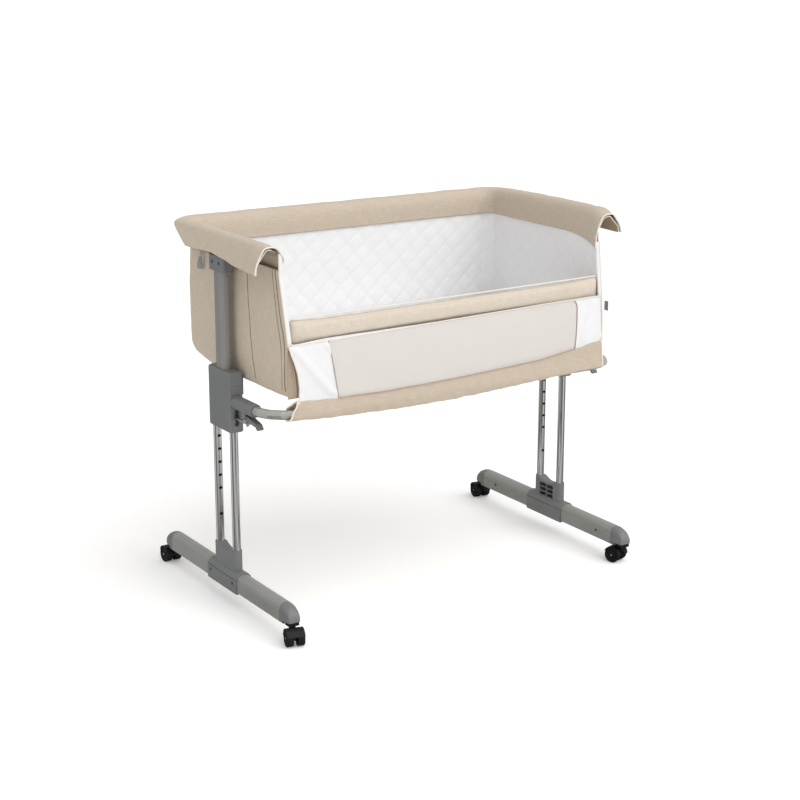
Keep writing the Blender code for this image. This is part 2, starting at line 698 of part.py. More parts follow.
def housing(side):
    """Slides on both tubes, holds the post, the lock, the trigger and the front rail's end."""
    body = prism(housing_outline(), "z", HOUSING_BOTTOM, HOUSING_TOP)
    body = soften(body, 0.0025, lambda edge: max(v.co.z for v in edge.verts) < HOUSING_BOTTOM + 1e-5)
    boss = soften(rod("y", (0, BOSS_Z), BOSS_R, -BOSS_FRONT, -HOUSING_FRONT + 0.004), 0.0015)
    ears = []
    ear_outline = hull_of_circles(
        (-TRIGGER_Y, BOSS_Z - 0.004), 0.011, (-TRIGGER_Y, TRIGGER_Z), TRIGGER_HUB_R
    )
    ear_inner = TRIGGER_WIDTH / 2 + EAR_ROOM
    for sign in (-1, 1):
        low, high = sorted((sign * ear_inner, sign * (ear_inner + EAR_THICK)))
        ears.append(prism(ear_outline, "x", low, high))
    inner = HOUSING_HALF_THICK
    frame_side = HALF_SPAN - FRAME_X - FRAME_TUBE_R - GAP
    arm_width = (-ARM_HALF_WIDTH, ARM_HALF_WIDTH)
    arm_low = block(
        (inner - 0.002, frame_side), arm_width, (HOUSING_TOP - 0.030, HOUSING_TOP - 2 * SLIDE_GAP)
    )
    arm_high = block(
        (inner + 2 * SLIDE_GAP, frame_side), arm_width,
        (HOUSING_TOP - 0.010, FRAME_Z + FRAME_TUBE_R - 0.002),
    )
    body = join(body, boss, *ears, arm_low, arm_high)
    cutters = [rod("y", (0, BOSS_Z), RAIL_R + SLIDE_GAP, -BOSS_FRONT - 0.01, -RAIL_END + GAP)]
    for y in (-TUBE_Y, TUBE_Y):
        cutters.append(rod("z", (0, y), TUBE_R + SLIDE_GAP, HOUSING_BOTTOM - 0.01, HOUSING_TOP + 0.01))
    cutters.append(prism(post_outline(GAP), "z", POST_BOTTOM - GAP, HOUSING_TOP + 0.01))
    room = LOCK_THICK / 2 + LOCK_ROOM
    cutters.append(block(
        (-LOCK_HALF_WIDTH - LOCK_ROOM, LOCK_HALF_WIDTH + LOCK_ROOM),
        (-LOCK_FRONT - LOCK_TRAVEL - LOCK_ROOM, TUBE_Y),
        (LOCK_Z - room, LOCK_Z + room),
    ))
    cutters.append(prism(
        rounded_box((0, LOCK_Z), (WINDOW_HALF_WIDTH, WINDOW_HALF_HEIGHT), WINDOW_HALF_WIDTH * 0.98),
        "y", -HOUSING_FRONT - 0.01, -TUBE_Y,
    ))
    pin_at = (-TRIGGER_Y, TRIGGER_Z)
    cutters.append(rod("x", pin_at, TRIGGER_PIN_R + GAP, -0.03, 0.03, SMALL_ROUND))
    place(f"housing_{side}", on_side(cut(body, *cutters), side), GREY_PLASTIC, crib_pivot(side))


def crib_pivot(side):
    return (SIDES[side] * HALF_SPAN, 0, LOCK_Z)


def post(side):
    body = cut(
        prism(post_outline(), "z", POST_BOTTOM, POST_TOP),
        prism(post_outline(-POST_WALL), "z", POST_BOTTOM - 0.01, POST_TOP + 0.01),
    )
    place(f"post_{side}", on_side(body, side), POST_PAINT, crib_pivot(side))


def trigger_pin(side):
    reach = TRIGGER_WIDTH / 2 + EAR_ROOM + EAR_THICK
    body = rod("x", (-TRIGGER_Y, TRIGGER_Z), TRIGGER_PIN_R, -reach, reach, SMALL_ROUND)
    place(f"trigger_pin_{side}", on_side(body, side), ZINC, crib_pivot(side))


def trigger(side):
    """A finger lever under the boss. Squeezed up, it draws the lock plate forward."""
    hub = (-TRIGGER_Y, TRIGGER_Z)
    half = TRIGGER_WIDTH / 2
    end = (hub[0] - TRIGGER_REACH, hub[1] - TRIGGER_SAG)
    lip = (end[0] - 0.006, end[1] - 0.006)
    lever = prism(hull_of_circles(hub, TRIGGER_HUB_R, end, TRIGGER_END_R), "x", -half, half)
    hook = prism(
        hull_of_circles(end, TRIGGER_END_R, lip, TRIGGER_END_R - 0.0005), "x", -half, half
    )
    foot = (-TRIGGER_Y, LOCK_Z - LOCK_THICK / 2 - FINGER_HALF)
    finger = prism(
        hull_of_circles(hub, FINGER_HALF + 0.0015, foot, FINGER_HALF), "x", -0.002, 0.002
    )
    bore = rod("x", hub, TRIGGER_PIN_R + GAP, -half - 0.01, half + 0.01, SMALL_ROUND)
    body = cut(join(lever, hook, finger), bore, boss_room(0), boss_room(SQUEEZE))
    sign = SIDES[side]
    place(f"trigger_{side}", on_side(body, side), GREY_PLASTIC, (sign * HALF_SPAN, -TRIGGER_Y, TRIGGER_Z))


def boss_room(angle):
    """Where the boss is, as the lever sees it once squeezed by an angle in degrees."""
    room = rod("y", (0, BOSS_Z), BOSS_R + BOSS_ROOM, -BOSS_FRONT - BOSS_ROOM, 0)
    bmesh.ops.rotate(
        room, cent=(0, -TRIGGER_Y, TRIGGER_Z), verts=room.verts,
        matrix=Matrix.Rotation(math.radians(angle), 3, "X"),
    )
    return room


def lock_plate(side):
    """A plate round the front tube, drawn back just clear of the back tube's notches."""
    low, high = LOCK_Z - LOCK_THICK / 2, LOCK_Z + LOCK_THICK / 2
    room_back = TUBE_Y - TUBE_R - SLIDE_GAP - LOCK_TRAVEL - LOCK_ROOM
    ring_back = room_back - LOCK_RAIL
    ring = prism(
        rounded_box(
            (0, -(LOCK_FRONT + ring_back) / 2), (LOCK_HALF_WIDTH, (LOCK_FRONT - ring_back) / 2), 0.003
        ),
        "z", low, high,
    )
    nose = block(
        (-0.0055, 0.0055), (-room_back + 0.001, TUBE_Y - TUBE_R - 2 * LOCK_CLEAR), (low, high)
    )
    tip = block(
        (-NOTCH_WIDTH / 2 + 0.0005, NOTCH_WIDTH / 2 - 0.0005),
        (0, TUBE_Y - TUBE_R - LOCK_CLEAR), (low, high),
    )
    tongue_end = TRIGGER_Y + FINGER_HALF + FINGER_ROOM + 0.0026
    tongue = block((-TONGUE_HALF, TONGUE_HALF), (-tongue_end, -LOCK_FRONT + 0.001), (low, high))
    hole = prism(
        hull_of_circles(
            (0, -TUBE_Y), LOCK_TUBE_ROOM, (0, -TUBE_Y + LOCK_TRAVEL), LOCK_TUBE_ROOM - 1e-6, 12
        ),
        "z", low - 0.01, high + 0.01,
    )
    finger_reach = FINGER_HALF + FINGER_ROOM
    finger_hole = block(
        (-0.0025, 0.0025), (-TRIGGER_Y - finger_reach, -TRIGGER_Y + finger_reach),
        (low - 0.01, high + 0.01),
    )
    body = cut(join(ring, nose, tip, tongue), hole, finger_hole)
    sign = SIDES[side]
    place(f"lock_plate_{side}", on_side(body, side), ZINC, (sign * HALF_SPAN, 0, LOCK_Z))


def rim_bracket(side):
    """Caps the post and holds the rim tube from below."""
    half_x = POST_THICK / 2 + 0.0025
    bottom = POST_TOP + 0.004 - BRACKET_CAP_HEIGHT
    tube_x = HALF_SPAN - RIM_X
    body = prism(rounded_box((0, 0), (half_x, BRACKET_CAP_HALF), 0.006), "z", bottom, POST_TOP + 0.006)
    cradle = block(
        (tube_x - RIM_TUBE_R, tube_x + RIM_TUBE_R), (-CRADLE_HALF, CRADLE_HALF),
        (POST_TOP + 0.003, RIM_TUBE_Z),
    )
    socket = prism(post_outline(GAP), "z", bottom - 0.01, POST_TOP + GAP)
    groove = rod("y", (tube_x, RIM_TUBE_Z), RIM_TUBE_R + GAP, -0.2, 0.2)
    place(f"rim_bracket_{side}", on_side(cut(join(body, cradle), socket, groove), side), GREY_PLASTIC,
          crib_pivot(side))


# Crib: frame and rails ---------------------------------------------------------------------------

def base_frame():
    """A closed ring of tube under the floor, drilled where the housings bolt on."""
    front = LOW_WALL_BACK - FRAME_TUBE_R - 0.004
    back = INNER_BACK - FRAME_TUBE_R - 0.002
    corners = [
        (FRAME_X, -front, FRAME_BEND), (FRAME_X, back, FRAME_BEND),
        (-FRAME_X, back, FRAME_BEND), (-FRAME_X, -front, FRAME_BEND),
    ]
    body = pipe(level_path(corners, FRAME_Z, closed=True), FRAME_TUBE_R, FRAME_WALL, closed=True)
    drills = []
    for sign in (-1, 1):
        reach = FRAME_TUBE_R + 0.01
        low, high = sorted((sign * (FRAME_X - reach), sign * (FRAME_X + reach)))
        drills.append(rod("x", (0, FRAME_Z), 0.0025, low, high, 6))
    place("base_frame", cut(body, *drills), RAIL_PAINT)


def rim_path(front):
    corners = [
        (-RIM_X, -front, 0), (-RIM_X, RIM_BACK, RIM_CORNER_R), (RIM_X, RIM_BACK, RIM_CORNER_R),
        (RIM_X, -front, 0),
    ]
    return level_path(corners, RIM_TUBE_Z)


def rim_tube():
    body = pipe(rim_path(RIM_TUBE_FRONT), RIM_TUBE_R, RIM_TUBE_WALL)
    place("rim_tube", body, RAIL_PAINT)


def rim_cover():
    """Fabric folded over the rim tube. Its outer leg lies on the back panel, and stands away
    from the end panels more and more towards the front."""
    path = rim_path(RIM_FRONT)
    first, last = path[0], path[-1]
    first_y = path[1][1]
    run = first_y - first[1]
    back_foot = -RIM_OUT + 0.001 + RIM_CLOTH
    hem = [
        (back_foot, WALL_TOP + 0.003), (back_foot * 0.3 + RIM_FLARE * 0.55, WALL_TOP + 0.015),
        (RIM_FLARE * 0.85, WALL_TOP + 0.021), (RIM_FLARE * 0.94, WALL_TOP + 0.007),
        (RIM_FLARE, WALL_TOP + 0.005),
    ]
    rising = [(first[0], first[1] + run * share, *first[2:]) for share in (0.25, 0.5, 0.75)]
    falling = [(last[0], last[1] + run * share, *last[2:]) for share in (0.75, 0.5, 0.25)]
    loops = []
    for x, y, _, tx, ty in [first, *rising, *path[1:-1], *falling, last]:
        share = min(1.0, max(0.0, (first_y - y) / (first_y + RIM_FRONT)))
        foot, foot_z = hem[round(share * (len(hem) - 1))]
        inner = -RIM_OUT - BASKET_WALL - 0.001 - RIM_CLOTH + 0.006 * share
        outer = RIM_TUBE_R + 0.003
        top = RIM_TOP - RIM_DROOP * (share == 1.0)
        section = [
            (inner, RIM_TOP - RIM_HANG), (inner, top - 0.014), (inner + 0.010, top - 0.002),
            (outer - 0.006, top), (outer + RIM_CLOTH, top - 0.010),
            (outer + RIM_CLOTH - 0.001, RIM_TUBE_Z - 0.006), (foot, foot_z),
            (foot - RIM_CLOTH, foot_z), (outer - 0.001, RIM_TUBE_Z - 0.006),
            (outer, top - 0.013), (outer - 0.007, top - RIM_CLOTH),
            (inner + 0.012, top - RIM_CLOTH - 0.002), (inner + RIM_CLOTH, top - 0.017),
            (inner + RIM_CLOTH, RIM_TOP - RIM_HANG),
        ]
        loops.append([(x - ty * offset, y + tx * offset, z) for offset, z in section])
    place("rim_cover", loft(loops), BEIGE_FABRIC)


def plan_outline(grow, front):
    """The basket's plan: round back corners, and end panels that turn in at the front."""
    half = BASKET_HALF_LENGTH + grow
    back = BASKET_BACK + grow
    radius = BACK_CORNER_R + grow
    points = arc((half - radius, back - radius), (radius, radius), 0, 90, 5)
    points += arc((-half + radius, back - radius), (radius, radius), 90, 180, 5)
    waist = BASKET_FRONT - FRONT_TAPER_RUN
    slope = FRONT_TAPER / FRONT_TAPER_RUN
    tip = half - slope * (front - waist)
    return points + [(-half, -waist), (-tip, -front), (tip, -front), (half, -waist)]


def basket():
    """Fabric floor, back and end panels. The front is open above the floor."""
    outer = soften(
        prism(plan_outline(0, BASKET_FRONT), "z", BASKET_FLOOR, WALL_TOP), 0.009,
        lambda edge: max(v.co.z for v in edge.verts) < BASKET_FLOOR + 1e-5
        and min(v.co.y for v in edge.verts) > -BASKET_FRONT + 1e-5, 2,
    )
    inner = prism(plan_outline(-BASKET_WALL, BASKET_FRONT + 0.05), "z", FLOOR_TOP, WALL_TOP + 0.05)
    lean = prism(
        [(-BASKET_FRONT - 0.05, FRONT_EDGE_BREAK), (-BASKET_FRONT, FRONT_EDGE_BREAK),
         (-BASKET_FRONT + FRONT_EDGE_LEAN, WALL_TOP + 0.001), (-BASKET_FRONT - 0.05, WALL_TOP + 0.001)],
        "x", -0.5, 0.5,
    )
    cutters = [inner, lean]
    for sign in (-1, 1):
        low, high = sorted((sign * (INNER_X - 0.03), sign * (BASKET_HALF_LENGTH + 0.02)))
        cutters.append(block(
            (low, high), (-ARM_HALF_WIDTH - 0.0008, ARM_HALF_WIDTH + 0.0008),
            (BASKET_FLOOR - 0.01, FRAME_Z + FRAME_TUBE_R),
        ))
    place("basket", cut(outer, *cutters), BEIGE_FABRIC)


def base_board():
    radius = INNER_CORNER_R
    half = INNER_X - 0.002
    back = INNER_BACK - 0.002
    front = LOW_WALL_BACK - 0.001
    points = arc((half - radius, back - radius), (radius, radius), 0, 90, 6)
    points += arc((-half + radius, back - radius), (radius, radius), 90, 180, 6)
    taper_start = -front + 0.04
    points += [(-half, taper_start), (-FRONT_INNER_X, -front)]
    points += [(FRONT_INNER_X, -front), (half, taper_start)]
    place("base_board", prism(points, "z", BOARD_BOTTOM, BOARD_BOTTOM + BOARD_THICK), BOARD_FINISH)


def mattress():
    half = INNER_X - MATTRESS_ROOM
    back = INNER_BACK - MATTRESS_ROOM
    front = LOW_WALL_BACK - MATTRESS_ROOM
    outline = rounded_box((0, (back - front) / 2), (half, (back + front) / 2), INNER_CORNER_R - 0.002, 6)
    body = soften(
        prism(outline, "z", MATTRESS_BOTTOM, MATTRESS_BOTTOM + MATTRESS_THICK), 0.006,
        lambda edge: abs(edge.verts[0].co.z - edge.verts[1].co.z) < 1e-6,
    )
    place("mattress", body, WHITE_FABRIC)


def low_wall():
    """The padded inner wall along the open side, and the soft band on its top."""
    half = FRONT_INNER_X + 0.003
    y = (-LOW_WALL_FRONT, -LOW_WALL_BACK)
    place("low_wall", block((-half, half), y, (FLOOR_TOP + GAP, LOW_WALL_TOP)), WHITE_FABRIC)
    band = prism(
        rounded_box(
            (-LOW_WALL_FRONT + LOW_WALL_THICK / 2, LOW_WALL_TOP + GAP + BAND_HEIGHT / 2),
            (BAND_THICK / 2, BAND_HEIGHT / 2), 0.010,
        ),
        "x", -half + 0.001, half - 0.001,
    )
    place("padded_band", band, BEIGE_FABRIC)


def front_flap():
    """The mesh side panel, let down in front of the low wall."""
    low = BOSS_Z + RAIL_RISE + SLEEVE_ABOVE + 0.002
    back_low, back_high = -RAIL_Y + FLAP_THICK / 2, -BASKET_FRONT - 0.0008
    outline = [
        (back_low - FLAP_THICK, low), (back_low, low), (back_high, LOW_WALL_TOP + 0.004),
        (back_high - FLAP_THICK, LOW_WALL_TOP + 0.004),
    ]
    half = FRONT_INNER_X + BASKET_WALL
    place("front_flap", prism(outline, "x", -half, half), MESH_FABRIC)


def risen(body):
    """Lifts what lies in front of the bosses, up to RAIL_RISE at the rail's straight run."""
    for vert in body.verts:
        share = (-vert.co.y - BOSS_FRONT) / (RAIL_Y - BOSS_FRONT)
        vert.co.z += RAIL_RISE * min(1.0, max(0.0, share))
    return body


def front_rail():
    """The side panel's top rail: a U of tube whose two ends plug into the bosses."""
    corners = [
        (-RAIL_X, -RAIL_END, 0), (-RAIL_X, -BOSS_FRONT, 0), (-RAIL_X, -RAIL_Y, RAIL_BEND),
        (RAIL_X, -RAIL_Y, RAIL_BEND), (RAIL_X, -BOSS_FRONT, 0), (RAIL_X, -RAIL_END, 0),
    ]
    path = level_path(corners, BOSS_Z)
    pivot = (0, -RAIL_Y, BOSS_Z + RAIL_RISE)
    place("front_rail", risen(pipe(path, RAIL_R, RAIL_WALL)), RAIL_PAINT, pivot)
    covered = path[BEND_STEPS + 1:-BEND_STEPS - 1]
    section = rounded_box(
        (0, BOSS_Z + (SLEEVE_ABOVE - SLEEVE_BELOW) / 2),
        (SLEEVE_HALF_DEPTH, (SLEEVE_ABOVE + SLEEVE_BELOW) / 2), 0.009,
    )
    sleeve = sweep(covered, section)
    bore = sweep(stretched(covered, False), circle((0, BOSS_Z), RAIL_R + GAP, 12))
    place("rail_sleeve", risen(cut(sleeve, bore)), BEIGE_FABRIC, pivot)


def zip_pull():
    """The pull that hangs from the slider under the rim, outside the left end panel."""
    outer = BASKET_HALF_LENGTH + 0.0008
    body = prism(
        rounded_box((PULL_Y, PULL_Z - PULL_LENGTH / 2), (PULL_WIDTH / 2, PULL_LENGTH / 2), 0.004),
        "x", -outer - PULL_THICK, -outer,
    )
    place("zip_pull", body, ZINC, (-outer - PULL_THICK / 2, PULL_Y, PULL_Z))


for stand in SIDES:
    foot_bar(stand)
    foot_bracket(stand)
    bridge(stand)
    for end_name in ("back", "front"):
        end_cap(stand, end_name)
        castor_mount(stand, end_name)
        castor(stand, end_name)
        stand_tube(stand, end_name)
    housing(stand)
    post(stand)
    trigger_pin(stand)
    trigger(stand)
    lock_plate(stand)
    rim_bracket(stand)

base_frame()
rim_tube()
rim_cover()
basket()
base_board()
mattress()
low_wall()
front_flap()
front_rail()
zip_pull()
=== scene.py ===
# %% [markdown]
# # A bedside crib: cloth tub on a rolling stand
#
# The frame brings the metal and moulded parts as they were designed. This lesson gives each of
# them its finish, and makes the soft goods anew: the linen tub, its quilted liner, the cover over
# the rim, the net flap, the sleeve on the front rail, the mattress and the padded band.

import math

import bmesh
import bpy
import numpy as np
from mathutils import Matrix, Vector, noise


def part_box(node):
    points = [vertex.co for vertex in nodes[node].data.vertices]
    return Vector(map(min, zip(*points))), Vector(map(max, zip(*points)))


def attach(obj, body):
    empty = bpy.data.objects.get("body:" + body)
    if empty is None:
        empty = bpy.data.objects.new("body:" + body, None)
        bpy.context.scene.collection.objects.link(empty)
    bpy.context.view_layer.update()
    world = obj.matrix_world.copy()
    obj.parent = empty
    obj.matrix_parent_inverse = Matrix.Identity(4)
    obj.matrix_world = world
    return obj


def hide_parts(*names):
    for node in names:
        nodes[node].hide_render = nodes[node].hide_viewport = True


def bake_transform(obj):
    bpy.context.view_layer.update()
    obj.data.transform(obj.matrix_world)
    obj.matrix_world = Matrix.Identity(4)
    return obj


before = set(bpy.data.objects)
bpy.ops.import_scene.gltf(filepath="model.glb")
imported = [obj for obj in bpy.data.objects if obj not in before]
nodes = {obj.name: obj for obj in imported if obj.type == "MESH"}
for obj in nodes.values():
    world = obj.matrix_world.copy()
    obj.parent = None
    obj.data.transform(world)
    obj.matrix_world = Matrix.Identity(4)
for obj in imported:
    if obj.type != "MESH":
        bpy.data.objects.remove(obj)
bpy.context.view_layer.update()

# %% [markdown]
# ## Small helpers
#
# Operators act on whatever is selected, so every step first clears the selection. A cloth is a
# grid of points whose UV map holds real lengths, which lets a weave follow the cloth anywhere.

# %% Selecting and finishing
WELD = 0.00002              # points closer than this become one point


def select_none():
    for other in bpy.context.selected_objects:
        other.select_set(False)


def only(obj):
    """Selects this object and nothing else."""
    select_none()
    obj.select_set(True)
    bpy.context.view_layer.objects.active = obj


def modify(obj, kind, **settings):
    """Adds a modifier and applies it."""
    step = obj.modifiers.new("step", kind)
    for name, value in settings.items():
        setattr(step, name, value)
    only(obj)
    bpy.ops.object.modifier_apply(modifier=step.name)
    return obj


def settle(obj, recalculate=True):
    """Puts the object's place into its mesh, and turns its faces outwards."""
    only(obj)
    bpy.ops.object.transform_apply(location=True, rotation=True, scale=True)
    if recalculate:
        body = bmesh.new()
        body.from_mesh(obj.data)
        bmesh.ops.remove_doubles(body, verts=body.verts, dist=WELD)
        bmesh.ops.recalc_face_normals(body, faces=body.faces)
        body.to_mesh(obj.data)
        body.free()
    return obj


def belongs(obj, body, material, slot, *stands_for):
    """Gives a piece its body, its finish and the nodes that it stands for."""
    obj.data.materials.clear()
    obj.data.materials.append(material)
    if stands_for:
        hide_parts(*stands_for)
    if body:
        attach(obj, body)
    return obj


def unit(value):
    """The value, kept between 0 and 1."""
    return max(0.0, min(1.0, value))


# %% [markdown]
# ## Writing materials as sums
#
# A wire carries a number or a colour between nodes. With the operators overloaded, a pattern
# reads like the formula that it is.

# %% Wires and recipes


class Wire:
    """A value on its way through a material's nodes."""

    def __init__(self, recipe, socket):
        self.recipe = recipe
        self.socket = socket

    def maths(self, operation, *others):
        sockets = dict(enumerate((self, *others)))
        return self.recipe.node("ShaderNodeMath", {"operation": operation}, sockets)

    def __add__(self, other):
        return self.maths("ADD", other)

    def __mul__(self, other):
        return self.maths("MULTIPLY", other)

    def __sub__(self, other):
        return self.maths("SUBTRACT", other)

    def __rsub__(self, other):
        return self.recipe.node("ShaderNodeMath", {"operation": "SUBTRACT"}, {0: other, 1: self})

    def __lt__(self, other):
        return self.maths("LESS_THAN", other)

    def __gt__(self, other):
        return self.maths("GREATER_THAN", other)

    __radd__ = __add__
    __rmul__ = __mul__

    def sine(self):
        return self.maths("SINE")

    def size(self):
        return self.maths("ABSOLUTE")

    def repeated(self, step):
        return self.maths("FLOORED_MODULO", step)


class Recipe:
    """One finish: a Principled shader and the nodes that feed it."""

    def __init__(self, name, **steady):
        self.material = bpy.data.materials.new(name)
        self.material.use_nodes = True
        self.tree = self.material.node_tree
        self.shader = self.tree.nodes["Principled BSDF"]
        for socket, value in steady.items():
            self.join(value, self.shader.inputs[socket.replace("_", " ")])

    def join(self, value, socket):
        if isinstance(value, Wire):
            self.tree.links.new(value.socket, socket)
        else:
            socket.default_value = value

    def node(self, kind, settings=None, sockets=None, out=0):
        """A new node, as a wire from its output numbered out."""
        made = self.tree.nodes.new(kind)
        for name, value in (settings or {}).items():
            setattr(made, name, value)
        for name, value in (sockets or {}).items():
            self.join(value, made.inputs[name])
        return Wire(self, made.outputs[out])

    def place(self, uv=False):
        """Where a point lies: on the cloth's own map, or in the object."""
        if uv:
            return self.node("ShaderNodeUVMap", {"uv_map": "cloth"})
        return self.node("ShaderNodeTexCoord", out=3)

    def parts(self, vector):
        split = self.node("ShaderNodeSeparateXYZ", sockets={0: vector})
        return [Wire(self, output) for output in split.socket.node.outputs]

    def cloud(self, vector, scale, detail=2, stretch=(1, 1, 1)):
        """Soft noise from 0 to 1, stretched along an axis."""
        spread = self.node(
            "ShaderNodeVectorMath", {"operation": "MULTIPLY"}, {0: vector, 1: stretch}
        )
        sockets = {"Vector": spread, "Scale": scale, "Detail": detail}
        return self.node("ShaderNodeTexNoise", sockets=sockets)

    def between(self, first, second, share):
        """A colour from first to second."""
        return self.node(
            "ShaderNodeMix", {"data_type": "RGBA"},
            {0: share, 6: first if isinstance(first, Wire) else (*first, 1),
             7: second if isinstance(second, Wire) else (*second, 1)}, out=2,
        )

    def colour(self, value):
        self.join(value, self.shader.inputs["Base Color"])

    def roughness(self, value):
        self.join(value, self.shader.inputs["Roughness"])

    def relief(self, height, distance, strength=1.0):
        sockets = {"Height": height, "Distance": distance, "Strength": strength}
        self.join(self.node("ShaderNodeBump", sockets=sockets), self.shader.inputs["Normal"])


# %% [markdown]
# ## Cloths
#
# The tub is a melange linen: light and dark yarns woven square, so that close up it shows
# threads and from afar soft flecks. The liner is white cotton, quilted in diamonds. The flap is
# a fine net.

# %% Linen, cotton and net
THREAD = 0.0011             # from one yarn to the next, in metres
FINE_THREAD = 0.0006        # the same for the white cotton
QUILT = 0.052               # from one quilting line to the next
STITCH = 0.005              # from one stitch to the next
STITCH_GAP = 0.0012         # between two stitches
STITCH_HALF_WIDTH = 0.0006
NET_HOLE = 0.0022           # from one hole of the net to the next


def woven(recipe, place, thread=THREAD):
    """(height of a plain weave, unevenness of its yarns) from a map in metres."""
    across, along, _ = recipe.parts(place)
    turn = math.tau / thread / 2
    warp = (across * turn).sine()
    weft = (along * turn).sine()
    height = (warp * weft).size()
    warp_yarn = recipe.cloud(place, 1.0, 3, (1100, 45, 1))
    weft_yarn = recipe.cloud(place, 1.0, 3, (45, 1100, 1))
    return height, warp_yarn * 0.5 + weft_yarn * 0.5


def linen(name, light, dark):
    """Flecked linen, woven from light and dark yarns."""
    recipe = Recipe(
        name, Roughness=0.93, Sheen_Weight=0.12, Sheen_Roughness=0.5, Specular_IOR_Level=0.25
    )
    place = recipe.place(uv=True)
    height, yarn = woven(recipe, place)
    fleck = recipe.node("ShaderNodeMapRange", sockets={0: yarn, 1: 0.36, 2: 0.64})
    tone = recipe.between(dark, light, fleck)
    patches = recipe.cloud(place, 14.0, 4)
    recipe.colour(recipe.between(tone, tuple(0.90 * value for value in light), patches * 0.45))
    recipe.relief(height * 0.6 + yarn * 0.8, 0.0004, 0.5)
    return recipe.material


def stitch_marks(recipe, across, along, gap):
    """1 on the stitches of two families of quilting lines, elsewhere 0."""
    marks = None
    for sign in (1, -1):
        lean = across + along * sign
        run = (across - along * sign).repeated(STITCH)
        near = ((lean + gap / 2).repeated(gap) - gap / 2).size()
        mark = (near < STITCH_HALF_WIDTH) * (run > STITCH_GAP)
        marks = mark if marks is None else marks + mark
    return marks


def cotton(name, colour, quilted=False):
    """Fine plain cotton, with the stitches of its quilting if it has any."""
    recipe = Recipe(name, Roughness=0.9, Sheen_Weight=0.08, Specular_IOR_Level=0.2)
    place = recipe.place(uv=True)
    height, yarn = woven(recipe, place, FINE_THREAD)
    shade = tuple(0.93 * value for value in colour)
    tone = recipe.between(shade, colour, yarn)
    relief = height * 0.3 + yarn * 0.5
    if quilted:
        across, along, _ = recipe.parts(place)
        marks = stitch_marks(recipe, across, along, QUILT)
        tone = recipe.between(tone, tuple(0.80 * value for value in colour), marks * 0.8)
        relief = relief - marks * 1.2
    soft = recipe.cloud(place, 25.0, 3)
    recipe.colour(recipe.between(tone, shade, soft * 0.4))
    recipe.roughness(yarn * 0.1 + 0.85)
    recipe.relief(relief + soft * 2.0, 0.0004, 0.5)
    return recipe.material


def net(name, colour):
    """A fine knitted net with round holes in staggered rows."""
    recipe = Recipe(name, Roughness=0.75, Specular_IOR_Level=0.3)
    place = recipe.place(uv=True)
    across, along, _ = recipe.parts(place)
    turn = math.tau / NET_HOLE
    rows = (across * turn).sine() * (along * turn).sine()
    open_part = rows.size() > 0.62
    yarn = recipe.cloud(place, 900.0, 2)
    # Soft darker streaks stand for folds while the net hangs flat: painted shade of folds.
    fold_shade = recipe.cloud(place, 9.0, 2, (1, 2.2, 1))
    tone = recipe.between(tuple(0.92 * value for value in colour), colour, yarn)
    recipe.colour(recipe.between(tone, tuple(0.94 * value for value in colour), fold_shade * 0.8))
    recipe.join(1.0 - open_part * 0.55, recipe.shader.inputs["Alpha"])
    recipe.relief(1.0 - rows.size(), 0.0005, 0.6)
    return recipe.material


LINEN = linen("melange linen", (0.655, 0.560, 0.450), (0.465, 0.385, 0.300))
# A lighter, less saturated copy of the melange linen: painted light on the padded band's lit face.
LINEN_LIT_BAND = linen("band linen, painted light", (0.735, 0.650, 0.550), (0.56, 0.485, 0.395))
# A darker copy of the melange linen: painted shade on the sleeve, which faces down.
LINEN_SHADED_SLEEVE = linen("sleeve linen in painted shade", (0.585, 0.495, 0.395), (0.43, 0.355, 0.275))
# A darker copy again: painted shade inside the cuffs, on the lower facings, in the bellows and on
# the flap's seam cords.
LINEN_PAINTED_SHADE = linen("darker linen for painted shade", (0.47, 0.38, 0.29), (0.36, 0.285, 0.21))
COTTON = cotton("white cotton", (0.80, 0.80, 0.805))
QUILTED = cotton("quilted cotton", (0.90, 0.90, 0.905), True)
NET = net("grey net", (0.83, 0.785, 0.745))
cloths = (LINEN, LINEN_LIT_BAND, LINEN_SHADED_SLEEVE, LINEN_PAINTED_SHADE, COTTON, QUILTED, NET)
print("cloths:", [material.name for material in cloths])

# %% [markdown]
# ## Metals, paints and plastics
#
# Satin powder paint has a fine orange peel, moulded plastic an even grain, and chrome hardly any
# grain but faint rubbing marks along the tube. These read the object's own coordinates.

# %% Hard finishes


def hard(name, colour, roughness, metallic, grain, depth, marks=(1, 1, 1), **steady):
    """A hard finish: a fine grain, and clouds of slightly duller surface stretched by marks."""
    recipe = Recipe(name, Metallic=metallic, **steady)
    place = recipe.place()
    fine = recipe.cloud(place, grain, 2)
    worn = recipe.cloud(place, 60.0, 5, marks)
    dull = recipe.node("ShaderNodeMapRange", sockets={0: worn, 1: 0.35, 2: 0.75})
    paler = tuple(min(1.0, value * 1.12 + 0.002) for value in colour)
    recipe.colour(recipe.between(colour, paler, dull * 0.6))
    recipe.roughness(dull * 0.12 + roughness)
    recipe.relief(fine, depth, 0.6)
    return recipe.material


